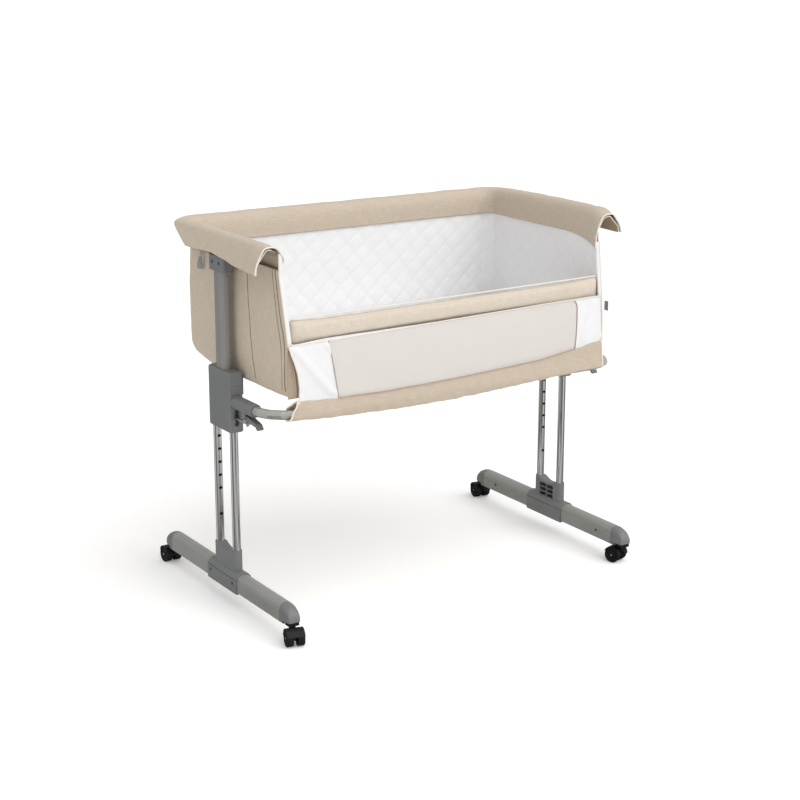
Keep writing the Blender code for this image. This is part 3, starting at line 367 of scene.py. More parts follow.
CHROME = hard("chrome", (0.74, 0.74, 0.72), 0.09, 1.0, 900.0, 0.00001, (6, 6, 0.4))
BAR_PAINT = hard("bar paint", (0.300, 0.305, 0.285), 0.38, 0.25, 2200.0, 0.00003, (1, 0.3, 1))
POST_PAINT = hard("post paint", (0.310, 0.312, 0.300), 0.30, 0.40, 2200.0, 0.00003, (1, 1, 0.2))
RAIL_PAINT = hard("rail paint", (0.50, 0.50, 0.47), 0.26, 0.65, 2200.0, 0.00003)
GREY_PLASTIC = hard("grey plastic", (0.168, 0.172, 0.175), 0.44, 0.0, 4200.0, 0.00006)
BLACK_PLASTIC = hard(
    "black plastic", (0.005, 0.005, 0.005), 0.50, 0.0, 4200.0, 0.00005, Specular_IOR_Level=0.3
)
TREAD = hard(
    "wheel tread", (0.004, 0.004, 0.004), 0.62, 0.0, 2500.0, 0.00006, Specular_IOR_Level=0.3
)
ZINC = hard("zinc", (0.72, 0.71, 0.69), 0.24, 1.0, 1500.0, 0.00002)
DARK_SCREW = hard("blackened screw", (0.10, 0.10, 0.10), 0.35, 0.8, 1500.0, 0.00002)
BOARD = hard("fibre board", (0.36, 0.27, 0.18), 0.75, 0.0, 700.0, 0.0002)


def tape(name, dark, light, grain, relief_grain, stretch=(1, 1, 1), **steady):
    """A narrow woven tape or cord."""
    recipe = Recipe(name, **steady)
    place = recipe.place()
    recipe.colour(recipe.between(dark, light, recipe.cloud(place, grain, 2, stretch)))
    recipe.relief(recipe.cloud(place, relief_grain, 2, stretch), 0.0003, 0.6)
    return recipe.material


CREAM_FINISH = tape(
    "cream binding", (0.70, 0.65, 0.56), (0.86, 0.82, 0.74), 1500.0, 1300.0,
    Roughness=0.9, Sheen_Weight=0.1,
)
TAPE_FINISH = tape(
    "grey tape", (0.22, 0.21, 0.24), (0.34, 0.32, 0.36), 900.0, 900.0, (1, 1, 4), Roughness=0.85
)

FINISH_OF = {
    "front_tube": CHROME, "back_tube": CHROME, "foot_bar": BAR_PAINT, "post": POST_PAINT,
    "front_rail": RAIL_PAINT, "rim_tube": RAIL_PAINT, "base_frame": RAIL_PAINT, "base_board": BOARD,
    "castor": BLACK_PLASTIC, "castor_axle": ZINC, "castor_wheel": TREAD, "trigger_pin": ZINC,
    "lock_plate": ZINC,
}
for name, node in nodes.items():
    found = [start for start in FINISH_OF if name.startswith(start)]
    finish = FINISH_OF[max(found, key=len)] if found else GREY_PLASTIC
    node.data.materials.clear()
    node.data.materials.append(finish)
print("finished", len(nodes), "frame nodes")

# %% [markdown]
# ## A grid of cloth
#
# Points are laid in rows, skinned with quads, and given a thickness on the inner side. The map
# named cloth holds the length along each row and column, measured in metres.

# %% Cloth from points


def cloth(name, points, thick, centre, smooth=1, loop=False):
    """A sheet through rows of points. Its thickness grows towards the centre point."""
    grid = np.asarray(points, float)
    rows, columns = grid.shape[:2]
    along = np.zeros((rows, columns))
    along[:, 1:] = np.cumsum(np.linalg.norm(np.diff(grid, axis=1), axis=2), axis=1)
    up = np.zeros((rows, columns))
    up[1:] = np.cumsum(np.linalg.norm(np.diff(grid, axis=0), axis=2), axis=0)
    faces = []
    for row in range(rows - 1):
        for column in range(columns - 1):
            first = row * columns + column
            faces.append((first, first + 1, first + columns + 1, first + columns))
    mesh = bpy.data.meshes.new(name)
    mesh.from_pydata(grid.reshape(-1, 3).tolist(), [], faces)
    lengths = mesh.uv_layers.new(name="cloth")
    flat = np.stack([along, up], axis=2).reshape(-1, 2)
    for corner in mesh.loops:
        lengths.data[corner.index].uv = flat[corner.vertex_index]
    obj = bpy.data.objects.new(name, mesh)
    bpy.context.scene.collection.objects.link(obj)
    centre = np.array(centre, float)
    mostly_level = (1, 1, 0.15)
    facing = sum(
        np.dot(np.array(face.normal), (np.array(face.center) - centre) * mostly_level)
        for face in mesh.polygons
    )
    if facing < 0:
        mesh.flip_normals()
    if loop:
        weld = bmesh.new()
        weld.from_mesh(mesh)
        bmesh.ops.remove_doubles(weld, verts=weld.verts, dist=WELD)
        weld.to_mesh(mesh)
        weld.free()
    if smooth:
        modify(obj, "SUBSURF", levels=smooth, render_levels=smooth)
    if thick:
        modify(obj, "SOLIDIFY", thickness=thick, offset=-1, use_even_offset=True, thickness_clamp=1)
    obj.data.shade_smooth()
    obj["flat_width"] = float(along[:, -1].mean())
    obj["flat_length"] = float(up[-1].mean())
    return obj


def binding(name, path, radius, body="crib", material=CREAM_FINISH):
    """A corded binding along a line of points."""
    line = bpy.data.curves.new(name, "CURVE")
    line.dimensions = "3D"
    line.bevel_depth = radius
    line.bevel_resolution = 3
    line.use_fill_caps = True
    spline = line.splines.new("POLY")
    spline.points.add(len(path) - 1)
    for point, place in zip(spline.points, path):
        point.co = (*place, 1)
    obj = bpy.data.objects.new(name, line)
    bpy.context.scene.collection.objects.link(obj)
    only(obj)
    bpy.ops.object.convert(target="MESH")
    settle(obj)
    obj.data.shade_smooth()
    return belongs(obj, body, material, "beige_fabric")


def smooth_line(knots, count):
    """Points evenly spaced along a smooth curve through the knots."""
    knots = np.asarray(knots, float)
    ends = np.vstack([2 * knots[0] - knots[1], knots, 2 * knots[-1] - knots[-2]])
    dense = []
    for a, b, c, d in zip(ends, ends[1:], ends[2:], ends[3:]):
        for t in np.arange(12) / 12:
            square = (2 * a - 5 * b + 4 * c - d) * t ** 2
            dense.append(0.5 * (2 * b + (c - a) * t + square + (3 * b - a - 3 * c + d) * t ** 3))
    dense = np.array([*dense, knots[-1]])
    run = np.concatenate([[0], np.cumsum(np.linalg.norm(np.diff(dense, axis=0), axis=1))])
    wanted = np.linspace(0, run[-1], count)
    return np.stack([np.interp(wanted, run, dense[:, i]) for i in range(dense.shape[1])], axis=1)


def ripple(x, y, z, size, seed=0.0):
    """A soft uneven value about zero, the same at every run."""
    return noise.noise(Vector((x / size + seed, y / size, z / size)))


# %% [markdown]
# ## The tub's outer cloth
#
# One strip of linen runs from the front edge of one end panel, round the back, to the front edge
# of the other. It is tucked under the rim cover on top and turned under the floor below. The
# columns follow the seams, so that each seam is a true groove.

# %% Plan of the tub
END_X = 0.422               # outer face of each end panel
BACK_Y = 0.235              # outer face of the back panel
CORNER_R = 0.042
FRONT_Y = -0.234            # front edge of the end panels, below the low wall's top
WAIST_Y = -0.184            # the end panels turn in, in front of this
TAPER = {-1: 0.05, 1: 0.36}  # how fast each end panel turns in, by its side
LEAN_START = 0.626          # height from which the front edges lean back
LEAN_TOP = 0.765
LEAN = 0.030
SEAM_FOOT, SEAM_HEAD = 0.487, 0.744     # heights over which the slanted seam is laid out
GROOVE = 0.0016             # half width of a seam's groove
BOTH_FRONT_SEAMS = (0.012, 0.026)       # behind the front edge
TUB_MIDDLE = (0, 0, 0.64)


def front_edge(z):
    """Y of an end panel's front edge, which leans back above the low wall."""
    share = unit((z - LEAN_START) / (LEAN_TOP - LEAN_START))
    return FRONT_Y + LEAN * share


def plan_columns(z, inset, seams, side):
    """(x, y, outward x, outward y, groove) along the left half, from the front edge to the back's
    middle, with the taper of the left end or, to be mirrored, the right."""
    front = front_edge(z)
    slanted = -0.101 + 0.033 * (z - SEAM_FOOT) / (SEAM_HEAD - SEAM_FOOT)
    near, far = (front + back for back in BOTH_FRONT_SEAMS)
    ys = [front]
    grooves = [0.0]
    start = front
    for place, depth, spans in ((near, 0.5, 3), (far, 1.0, 3), (slanted, 1.0, 12)):
        if not seams:
            break
        for value in np.linspace(start, place - GROOVE, spans + 1)[1:]:
            ys.append(value)
            grooves.append(0.0)
        ys += [place, place + GROOVE]
        grooves += [depth, 0.0]
        start = place + GROOVE
    for value in np.linspace(start, BACK_Y - CORNER_R, 40)[1:]:
        ys.append(value)
        grooves.append(0.0)
    columns = []
    for y, groove in zip(ys, grooves):
        turn_in = max(0.0, WAIST_Y - y) * TAPER[side]
        columns.append((-END_X + turn_in + inset, y, -1.0, 0.0, groove))
    for step in range(1, 9):
        angle = math.radians(90 * step / 8)
        reach = CORNER_R - inset
        columns.append((
            -END_X + CORNER_R - reach * math.cos(angle),
            BACK_Y - CORNER_R + reach * math.sin(angle),
            -math.cos(angle), math.sin(angle), 0.0,
        ))
    for x in np.linspace(-END_X + CORNER_R, 0, 76 if not seams else 50)[1:]:
        columns.append((x, BACK_Y - inset, 0.0, 1.0, 0.0))
    return columns


def whole_plan(z, inset=0.0, seams=True):
    """The left half, then the right one from the middle to its front edge."""
    left = plan_columns(z, inset, seams, -1)
    right = plan_columns(z, inset, seams, 1)
    return left + [(-x, y, -out_x, out_y, groove) for x, y, out_x, out_y, groove in right[-2::-1]]


# %% Outer cloth
FLOOR_Z = 0.5125
OUTER_TOP = 0.779


def tuck_at(x, y, z):
    """How far the cloth turns in above the floor: most at the back corners."""
    corner = unit((y - 0.10) / 0.11) * unit((abs(x) - 0.33) / 0.08)
    turn = 0.010 + 0.032 * corner
    low = max(0.0, 1 - (z - FLOOR_Z) / turn)
    return turn * (1 - math.sqrt(max(0.0, 1 - low * low)))


rows = []
for z in np.concatenate([np.linspace(FLOOR_Z, 0.545, 14), np.linspace(0.545, OUTER_TOP, 46)[1:]]):
    row = []
    for x, y, out_x, out_y, groove in whole_plan(z):
        swell = 0.0035 * math.sin(math.pi * unit((z - FLOOR_Z) / 0.25))
        swell *= 1 - 0.8 * unit((-y - 0.16) / 0.07)
        crease = 0.0022 * ripple(x, y * 1.3, z * 0.5, 0.055, 3.1)
        crease += 0.0008 * ripple(x, y, z, 0.02, 7.7)
        push = swell + crease - 0.0020 * groove - tuck_at(x, y, z) - 0.0030
        edge = unit((FRONT_Y + 0.05 - y) / 0.05) * unit((LEAN_START - z) / 0.03)
        push -= edge * 0.0035 * (0.5 + 0.5 * math.sin(y * 520 + z * 25))
        row.append((x + out_x * push, y + out_y * push, z))
    rows.append(row)
tub = cloth("tub_outer_cloth", rows, 0.0018, TUB_MIDDLE)
belongs(tub, "crib", LINEN, "beige_fabric", "basket")
# The dark cords along the seams are painted shadow in each groove, mottled a little.
SEAM_SHADOW = Recipe("painted seam shadow", Roughness=0.9)
shadow_mottle = SEAM_SHADOW.cloud(SEAM_SHADOW.place(), 1200.0, 2)
SEAM_SHADOW.colour(SEAM_SHADOW.between((0.20, 0.155, 0.115), (0.30, 0.24, 0.18), shadow_mottle))
seam_columns = [index for index, column in enumerate(whole_plan(0.6)) if column[4] > 0]
for number, column in enumerate(seam_columns):
    line = []
    for x, y, z in (rows[index][column] for index in range(6, len(rows))):
        line.append((x + math.copysign(0.0011, x), y, z))
    binding(f"tub_seam_shadow_{number + 1}", line, 0.0008, material=SEAM_SHADOW.material)

# %% Floor cloth
floor_loops = []
outline = [(x, y) for x, y, _ in rows[0]][::3]
outline = outline + [rows[0][-1][:2], rows[0][0][:2]]
for share in (0.998, 0.97, 0.9, 0.75, 0.55, 0.35, 0.15, 0.02):
    loop = []
    for x, y in ((x * share, y * share) for x, y in outline):
        loop.append((x, y, FLOOR_Z + 0.0004 + 0.0006 * ripple(x, y, 0, 0.07) * (share < 0.95)))
    floor_loops.append(loop)
floor_cloth = cloth("tub_floor_cloth", floor_loops, 0.0014, (0, 0, 3.0))
belongs(floor_cloth, "crib", LINEN, "beige_fabric")

# %% [markdown]
# ## The quilted liner
#
# Inside, white cotton over thin wadding is quilted in diamonds on the back panel. Each line pulls
# the cloth in, so the quilting is modelled in the mesh and the stitches are left to the finish.
# Where an end panel meets the back there is a seam, and near the open side the cloth is gathered.

# %% Liner
LINER_TOP = 0.7695
LINER_LOW = 0.520
LINER_INSET = 0.0105        # from the tub's outer face to the liner
CORNER_SEAM_Y = 0.222
QUILT_SOFTNESS = 0.0065     # how far from a quilting line the wadding fills out


def quilt_depth(across, along):
    """0 on a quilting line, rising to 1 within a diamond."""
    nearest = 1.0
    for sign in (1, -1):
        lean = (across + sign * along + QUILT / 2) % QUILT - QUILT / 2
        nearest = min(nearest, abs(lean))
    return 1 - math.exp(-((nearest / QUILT_SOFTNESS) ** 2))


rows = []
for z in np.linspace(LINER_LOW, LINER_TOP, 58):
    row = []
    run = 0.0
    before = None
    for x, y, out_x, out_y, _ in whole_plan(z, LINER_INSET, False):
        if before is not None:
            run += math.hypot(x - before[0], y - before[1])
        before = (x, y)
        at_back = unit((y - 0.15) / 0.05)
        relief = 0.0014 * quilt_depth(run, z - LINER_LOW) * at_back
        gather = unit((-0.02 - y) / 0.14) * unit((0.750 - z) / 0.025)
        pleat = 0.0024 * math.sin(y * 170 + 2.0 * ripple(y, z, 0, 0.09)) * gather * (1 - at_back)
        soft = 0.0014 * ripple(x, y, z, 0.05, 1.7)
        seam = -0.0028 * math.exp(-(((y - CORNER_SEAM_Y) / 0.0035) ** 2)) * (abs(x) > 0.38)
        push = -(relief + pleat * 0.6 + soft * 0.6 + seam) - tuck_at(x, y, z)
        row.append((x + out_x * push, y + out_y * push, z))
    rows.append(row)
liner = cloth("quilted_liner", rows, 0.0022, TUB_MIDDLE)
belongs(liner, "crib", QUILTED, "white_fabric")

# %% Front facings and their bindings
FACING_LOW, FACING_SPLIT = 0.516, 0.618     # the linen facing below, the white one above
FACING_MIDDLE = (0, 0.5, 0.66)


def facing_rows(side, heights):
    """Strips across the wall's thickness at an end panel's front edge."""
    rows = []
    for share in (0.0, 0.25, 0.5, 0.75, 1.0):
        puff = 0.0022 * math.sin(math.pi * share)
        row = []
        for z in heights:
            y = front_edge(z)
            x = END_X - 0.0024 - max(0.0, WAIST_Y - y) * TAPER[side] - 0.0104 * share
            row.append((side * x, y - puff, z))
        rows.append(row)
    return rows


for side, label, facing_top in ((-1, "left", 0.812), (1, "right", 0.758)):
    heights = np.linspace(FACING_SPLIT, facing_top, 32)
    upper = cloth(f"upper_facing_{label}", facing_rows(side, heights), 0.0012, FACING_MIDDLE)
    belongs(upper, "crib", COTTON, "white_fabric")
    low_rows = facing_rows(side, np.linspace(FACING_LOW, FACING_SPLIT, 18))
    lower = cloth(f"lower_facing_{label}", low_rows, 0.0012, FACING_MIDDLE)
    # The lower facing is in the darker linen: painted shade at the low front edge.
    belongs(lower, "crib", LINEN_PAINTED_SHADE, "beige_fabric")
    edge = [(x + side * -0.0011, y - 0.0014, z) for x, y, z in facing_rows(side, heights)[0]]
    binding(f"front_binding_{label}", edge, 0.0018)
print("front edges faced and bound")

# %% [markdown]
# ## The rim cover
#
# A folded strip of linen hangs over the rim tube: a short inner leg, a round top, and an outer leg
# that lies on the back panel but stands away like a cuff at the open side. A section is drawn at
# each column and its points are joined along the tube.

# %% Rim cover
RIM_X = 0.440               # the tube's line at the ends
RIM_Y = 0.2515              # and at the back
RIM_R = 0.060
RIM_END = -0.206
RIM_TOP = 0.8305
INNER_HEM = 0.7665          # height of the inner leg's edge
RIM_POINTS = 34             # round a section
HEM = {                     # Y of the column: (hem's distance from the tube, hem's height)
    -0.206: (0.0345, 0.7735), -0.160: (0.0325, 0.7745), -0.106: (0.0300, 0.7770),
    -0.050: (0.0280, 0.7830), -0.006: (0.0262, 0.7870), 0.045: (0.0215, 0.7850),
    0.093: (0.0137, 0.7795), 0.150: (-0.0020, 0.7720), 0.193: (-0.0090, 0.7675),
}


def hem_at(y):
    """(distance from the tube, height) of the outer leg's hem."""
    ys = sorted(HEM)
    return [float(np.interp(y, ys, [HEM[key][i] for key in ys])) for i in (0, 1)]


def rim_columns():
    """(x, y, outward x, outward y) along the tube, from the left front end to the right one."""
    left = [(-RIM_X, y, -1.0, 0.0) for y in np.linspace(RIM_END, RIM_Y - RIM_R, 44)]
    for step in range(1, 13):
        angle = math.radians(90 * step / 12)
        left.append((
            -RIM_X + RIM_R * (1 - math.cos(angle)), RIM_Y - RIM_R + RIM_R * math.sin(angle),
            -math.cos(angle), math.sin(angle),
        ))
    left += [(x, RIM_Y, 0.0, 1.0) for x in np.linspace(-RIM_X + RIM_R, 0, 50)[1:]]
    return left + [(-x, y, -out_x, out_y) for x, y, out_x, out_y in left[-2::-1]]


def rim_section(x, y, inner=0.0):
    """(distance from the tube's line, height) round the folded cloth, moved inwards by inner.

    At the left end the inner leg rises into the cuff. At the right end it falls lower, and the
    cuff droops beyond the tube."""
    side = 1 if x > 0 else -1
    foot, foot_z = hem_at(y)
    front = unit((-0.165 - y) / 0.041)
    open_side = unit((0.193 - y) / 0.399)
    back_drop = 0.0055 * max(0.0, (y - 0.10) / 0.15) * (0.7 + 0.3 * unit((x + 0.44) / 0.88))
    droop = 0.010 * unit((-0.172 - y) / 0.034) ** 1.5 * (side > 0)
    top = RIM_TOP - 0.0025 * front - back_drop - droop - inner
    leg = -0.0345 + 0.0055 * open_side + inner
    out = 0.0135 + 0.004 * open_side - inner
    lift = 0.030 * unit((-0.185 - y) / 0.021) * (side < 0)
    fall = 0.024 * unit((-0.085 - y) / 0.115) ** 2 * (side > 0)
    low_leg = leg - max(0.0, WAIST_Y - y) * TAPER[side] - 0.0035 * open_side
    knots = [
        (low_leg, INNER_HEM + lift - fall),
        (0.5 * (low_leg + leg) - 0.0012, 0.790 + 0.5 * lift - 0.5 * fall),
        (leg + 0.001, top - 0.018), (leg + 0.009, top - 0.0050),
        (leg + 0.022, top), (out - 0.008, top - 0.0015), (out, top - 0.0105),
        (0.55 * out + 0.45 * foot + 0.004 * open_side, 0.5 * (top - 0.010) + 0.5 * foot_z),
        (foot - inner, foot_z),
    ]
    return smooth_line(knots, RIM_POINTS)


rows = []
for x, y, out_x, out_y in rim_columns():
    column = []
    for index, (offset, z) in enumerate(rim_section(x, y)):
        share = index / (RIM_POINTS - 1)
        crease = 0.0016 * ripple(x, y, z, 0.045, 5.3) + 0.0007 * ripple(x, y, z, 0.016, 2.9)
        if share > 0.55:
            crease += 0.0022 * (share - 0.55) * math.sin(y * 75 + x * 21) * (abs(x) > 0.39)
        mitre = -0.0016 * math.exp(-(((y - RIM_Y + RIM_R) / 0.0022) ** 2)) * (abs(x) > 0.42)
        dent = -0.0025 * math.exp(-(((y + 0.150) / 0.007) ** 2))
        dent *= math.exp(-(((share - 0.62) / 0.12) ** 2))
        push = crease + mitre + dent
        offset += push * (0.4 if share < 0.4 else 1)
        z += push * 0.6 * (0.3 < share < 0.8)
        column.append((x + out_x * offset, y + out_y * offset, z))
    rows.append(column)
cover = cloth("rim_cover_cloth", rows, 0.0019, (0, 0, 0.60))
belongs(cover, "crib", LINEN, "beige_fabric", "rim_cover")

# %% Cuffs at the rim's front ends
for side in (-1, 1):
    label = "left" if side < 0 else "right"
    section = rim_section(side * RIM_X, RIM_END)
    path = [(side * (RIM_X + offset), RIM_END - 0.0006, z) for offset, z in section]
    binding(f"cuff_binding_{label}", path[6 if side < 0 else 0:], 0.0017)
    lining = []
    for y in np.linspace(RIM_END + 0.004, RIM_END + 0.085, 10):
        lining.append([
            (side * (RIM_X + offset), y, z - 0.001)
            for offset, z in rim_section(side * RIM_X, y, 0.0042)[9:]
        ])
    piece = cloth(f"cuff_lining_{label}", lining, 0.0012, (side * 0.44, -0.16, 0.78))
    # The lining is in the darker linen: painted shade inside the cuff.
    belongs(piece, "crib", LINEN_PAINTED_SHADE, "beige_fabric")
    section = rim_section(side * RIM_X, RIM_END, 0.0046)[12:]
    path = [(side * (RIM_X + offset), RIM_END + 0.0035, z - 0.001) for offset, z in section]
    binding(f"cuff_lining_binding_{label}", path, 0.0012)

# %% [markdown]
# ## The net flap and the rail's sleeve
#
# The side panel is let down: its rail hangs low in front, in a linen sleeve, and the net between
# the two falls straight, with a white gusset and a corded edge at each end.

# %% Shape of the let-down side
FLAP_TOP = 0.6265           # at its left end; it rises to the right
FLAP_RISE = 0.0125
RAIL_Z = 0.479
RAIL_Y = -0.2405
RAIL_BEND_R = 0.075         # and the bend starts at BEND_X
BEND_X = 0.370
LEFT_EDGE = (               # (height, X) down the flap's left edge
    (0.627, -0.417), (0.612, -0.4135), (0.590, -0.4055), (0.565, -0.3985),
    (0.534, -0.3950), (0.505, -0.3970), (0.485, -0.4040), (0.468, -0.4140),
)
RIGHT_EDGE = ((0.640, 0.396), (0.600, 0.397), (0.534, 0.3975), (0.475, 0.398))
SLEEVE_TOP = (              # (X, height) along the sleeve's upper edge
    (-0.414, 0.509), (-0.30, 0.5030), (-0.18, 0.4995), (0.0, 0.5035),
    (0.13, 0.5085), (0.223, 0.5135), (0.387, 0.534), (0.404, 0.536),
)
SLEEVE_LOW = (              # and along its underside
    (-0.414, 0.4670), (-0.30, 0.4610), (-0.18, 0.4575), (-0.02, 0.4560),
    (0.13, 0.4615), (0.30, 0.4690), (0.392, 0.4735), (0.404, 0.474),
)


def read(table, value):
    """The table's second entry where its first is the value."""
    table = sorted(table)
    return float(np.interp(value, [a for a, _ in table], [b for _, b in table]))


def flap_y(x, z):
    """The flap leans out a little towards the rail, and sags softly between its ends."""
    share = (FLAP_TOP + 0.012 - z) / (FLAP_TOP - 0.50)
    bow = 0.0022 * math.sin(math.pi * unit(share))
    return -0.2378 - 0.0042 * share - bow + 0.0016 * ripple(x, 0, z, 0.075, 4.4)


def flap_top(x):
    return FLAP_TOP + FLAP_RISE * unit((x + 0.33) / 0.62)


def flap_grid(left, right, columns, wrinkle):
    """Rows of points up the flap, between two edges given as X at a height."""
    rows = []
    for climb in np.linspace(0, 1, 40):
        row = []
        for share in np.linspace(0, 1, columns):
            x = left(0.56) + (right(0.56) - left(0.56)) * share
            bottom = read(SLEEVE_TOP, x) - 0.0070
            z = bottom + (flap_top(x) - bottom) * climb
            x = left(z) + (right(z) - left(z)) * share
            loose = unit((z - bottom - 0.006) / 0.016) * min(1.0, (1 - climb) / 0.08)
            tucked = 0.0012 * (1 - min(1, (z - bottom) / 0.02))
            row.append((x, flap_y(x, z) + wrinkle(x, z) * loose + tucked, z))
        rows.append(row)
    return rows


def net_left(z):
    return -0.323 + 0.021 * (0.626 - z) / 0.124


def net_right(z):
    return 0.3275 - 0.007 * (0.638 - z) / 0.106 - 0.012 * max(0.0, (z - 0.62) / 0.02) ** 2


def left_folds(x, z):
    slant = (x + 0.405) * 0.75 + (z - 0.50) * 0.62
    return -0.0034 * max(0.0, math.sin(slant * 105)) ** 2 - 0.0012 * ripple(x, z, 0, 0.02)


def right_folds(x, z):
    slant = (x - 0.33) * 0.9 - (z - 0.55) * 0.30
    return -0.0028 * max(0.0, math.sin(slant * 120)) ** 2 - 0.0012 * ripple(x, z, 0, 0.02)


def calm(x, z):
    return 0.0


def left_edge(z):
    return read(LEFT_EDGE, z)


def right_edge(z):
    return read(RIGHT_EDGE, z)


pieces = []
spans = (
    ("flap_gusset_left", left_edge, net_left, 30, left_folds, COTTON, "white_fabric"),
    ("flap_net", net_left, net_right, 120, calm, NET, "mesh_fabric"),
    ("flap_gusset_right", net_right, right_edge, 26, right_folds, COTTON, "white_fabric"),
)
for name, left, right, columns, folds, material, slot in spans:
    piece = cloth(name, flap_grid(left, right, columns, folds), 0.0010, (0, 1.0, 0.56))
    belongs(piece, None, material, slot, *(["front_flap"] if name == "flap_net" else []))
    pieces.append(piece)
# The flap's seam cords are in the darker linen: painted shade along each seam.
seams = []
for name, edge, top in (("left", net_left, 0.628), ("right", net_right, 0.636)):
    path = [(edge(z), flap_y(edge(z), z) - 0.0008, z) for z in np.linspace(0.503, top, 24)]
    seams.append(binding(f"flap_seam_{name}", path, 0.0009, None, LINEN_PAINTED_SHADE))
path = [
    (x, flap_y(x, 0.51) - 0.0030, read(SLEEVE_TOP, x) + 0.0012)
    for x in np.linspace(-0.300, 0.318, 70)
]
seams.append(binding("flap_seam_low", path, 0.0008, None, LINEN_PAINTED_SHADE))
edges = []
for name, edge, top in (("left", left_edge, 0.627), ("right", right_edge, 0.638)):
    path = [(edge(z), flap_y(edge(z), z) - 0.0012, z) for z in np.linspace(0.500, top, 26)]
    edges.append(binding(f"flap_binding_{name}", path, 0.0018, None))

# Between the left end panel and the flap, linen is gathered in upright pleats. They are in the
# darker linen: painted shade between panel and flap.
rows = []
for z in np.linspace(0.5140, 0.6230, 26):
    row = []
    for share in np.linspace(0, 1, 44):
        start, end = -0.4190, left_edge(z) + 0.0030
        depth = 0.0024 * math.sin(math.pi * 3.5 * share) ** 2
        depth += 0.0006 * ripple(share * 0.1, 0, z, 0.03)
        row.append((start + (end - start) * share, -0.2352 - depth, z))
    rows.append(row)
bellows = cloth("bellows_left", rows, 0.0008, (0, 1, 0.56))
belongs(bellows, None, LINEN_PAINTED_SHADE, "beige_fabric")
for piece in pieces + seams + edges + [bellows]:
    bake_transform(piece)
for piece in pieces + [bellows]:
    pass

# %% Sleeve on the front rail


def rail_y(x):
    """Y of the rail's line, which bends back at its ends."""
    bend = max(0.0, abs(x) - BEND_X)
    return RAIL_Y + RAIL_BEND_R - math.sqrt(RAIL_BEND_R ** 2 - bend ** 2)


rows = []
for x in np.linspace(-0.409, 0.395, 150):
    y = rail_y(x)
    top, low = read(SLEEVE_TOP, x), read(SLEEVE_LOW, x)
    middle = RAIL_Z
    back = -0.2378 - 0.0030
    knots = [
        (y - 0.0005, low + 0.0022), (y - 0.0095, low + 0.0030),
        (y - 0.0145, middle - 0.004), (y - 0.0135, middle + 0.0075),
        (back - 0.0062, 0.45 * top + 0.55 * (middle + 0.010)), (back - 0.0030, top - 0.003),
        (back - 0.0012, top), (back + 0.0012, top - 0.001),
        (y + 0.0128, middle + 0.0095), (y + 0.0138, middle), (y + 0.0100, middle - 0.0100),
        (y - 0.0005, low + 0.0022),
    ]
    flare = max(0.0, (abs(x) - 0.385) / 0.019) * 0.0012
    row = []
    for point_y, z in smooth_line(knots, 40)[:-1]:
        crease = 0.0026 * ripple(x, point_y, z * 0.4, 0.030, 8.2)
        crease += 0.0007 * math.sin(x * 160 + z * 60)
        reach = math.hypot(point_y - y, z - middle) or 1.0
        push = (crease + flare) * (1 if point_y < y else 0.3)
        slant = 0.52 * (z - 0.490) * unit((-0.360 - x) / 0.049)
        row.append((
            x + slant, point_y + push * (point_y - y) / reach,
            z + push * (z - middle) / reach * 0.5,
        ))
    row.append(row[0])
    rows.append(row)
sleeve = cloth("rail_sleeve_cloth", rows, 0.0014, (0, RAIL_Y, RAIL_Z), loop=True)
# The sleeve takes the darker copy of the linen: painted shade.
belongs(sleeve, "front_rail", LINEN_SHADED_SLEEVE, "beige_fabric", "rail_sleeve")
for side, label in ((-1, "left"), (1, "right")):
    loop = rows[0] if side < 0 else rows[-1]
    lip = [(point[0] + side * 0.0008, point[1], point[2]) for point in loop]
    binding(f"sleeve_binding_{label}", lip[:30], 0.0019, "front_rail")

# %% [markdown]
# ## Padded pieces
#
# The mattress and the band on the low wall start as slightly small solids. Pressure in a cloth
# simulation swells them, and what each point may move is capped so that they keep to their place.

# %% Swelling


def padded_block(name, low, high, rounding, voxel, pressure, cap, frames=20):
    """A swollen cushion between two corners of a box."""
    select_none()
    low, high = np.array(low), np.array(high)
    bpy.ops.mesh.primitive_cube_add(size=1, location=tuple((low + high) / 2))
    obj = bpy.context.object
    obj.name = name
    obj.scale = tuple(high - low)
    only(obj)
    bpy.ops.object.transform_apply(location=True, rotation=True, scale=True)
    modify(obj, "BEVEL", width=rounding, segments=3, limit_method="NONE")
    modify(obj, "REMESH", mode="VOXEL", voxel_size=voxel)
    start = np.array([v.co for v in obj.data.vertices])
    swell = obj.modifiers.new("swell", "CLOTH")
    swell.settings.use_pressure = True
    swell.settings.uniform_pressure_force = pressure
    swell.settings.effector_weights.gravity = 0
    swell.settings.quality = 5
    scene = bpy.context.scene
    for frame_number in range(1, frames + 1):
        scene.frame_set(frame_number)
    graph = bpy.context.evaluated_depsgraph_get()
    swollen = obj.evaluated_get(graph).to_mesh()
    end = np.array([v.co for v in swollen.vertices])
    obj.evaluated_get(graph).to_mesh_clear()
    obj.modifiers.remove(swell)
    move = end - start
    far = np.linalg.norm(move, axis=1, keepdims=True)
    move *= np.minimum(1.0, cap / np.maximum(far, 1e-9))
    obj.data.vertices.foreach_set("co", (start + move).ravel())
    scene.frame_set(1)
    modify(obj, "SUBSURF", levels=1, render_levels=1)
    mapping = obj.data.uv_layers[0] if obj.data.uv_layers else obj.data.uv_layers.new(name="cloth")
    mapping.name = "cloth"
    for polygon in obj.data.polygons:
        axis = max(range(3), key=lambda i: abs(polygon.normal[i]))
        pair = [(1, 2), (0, 2), (0, 1)][axis]
        for corner in polygon.loop_indices:
            point = obj.data.vertices[obj.data.loops[corner].vertex_index].co
            mapping.data[corner].uv = (point[pair[0]], point[pair[1]])
    obj.data.shade_smooth()
    return obj


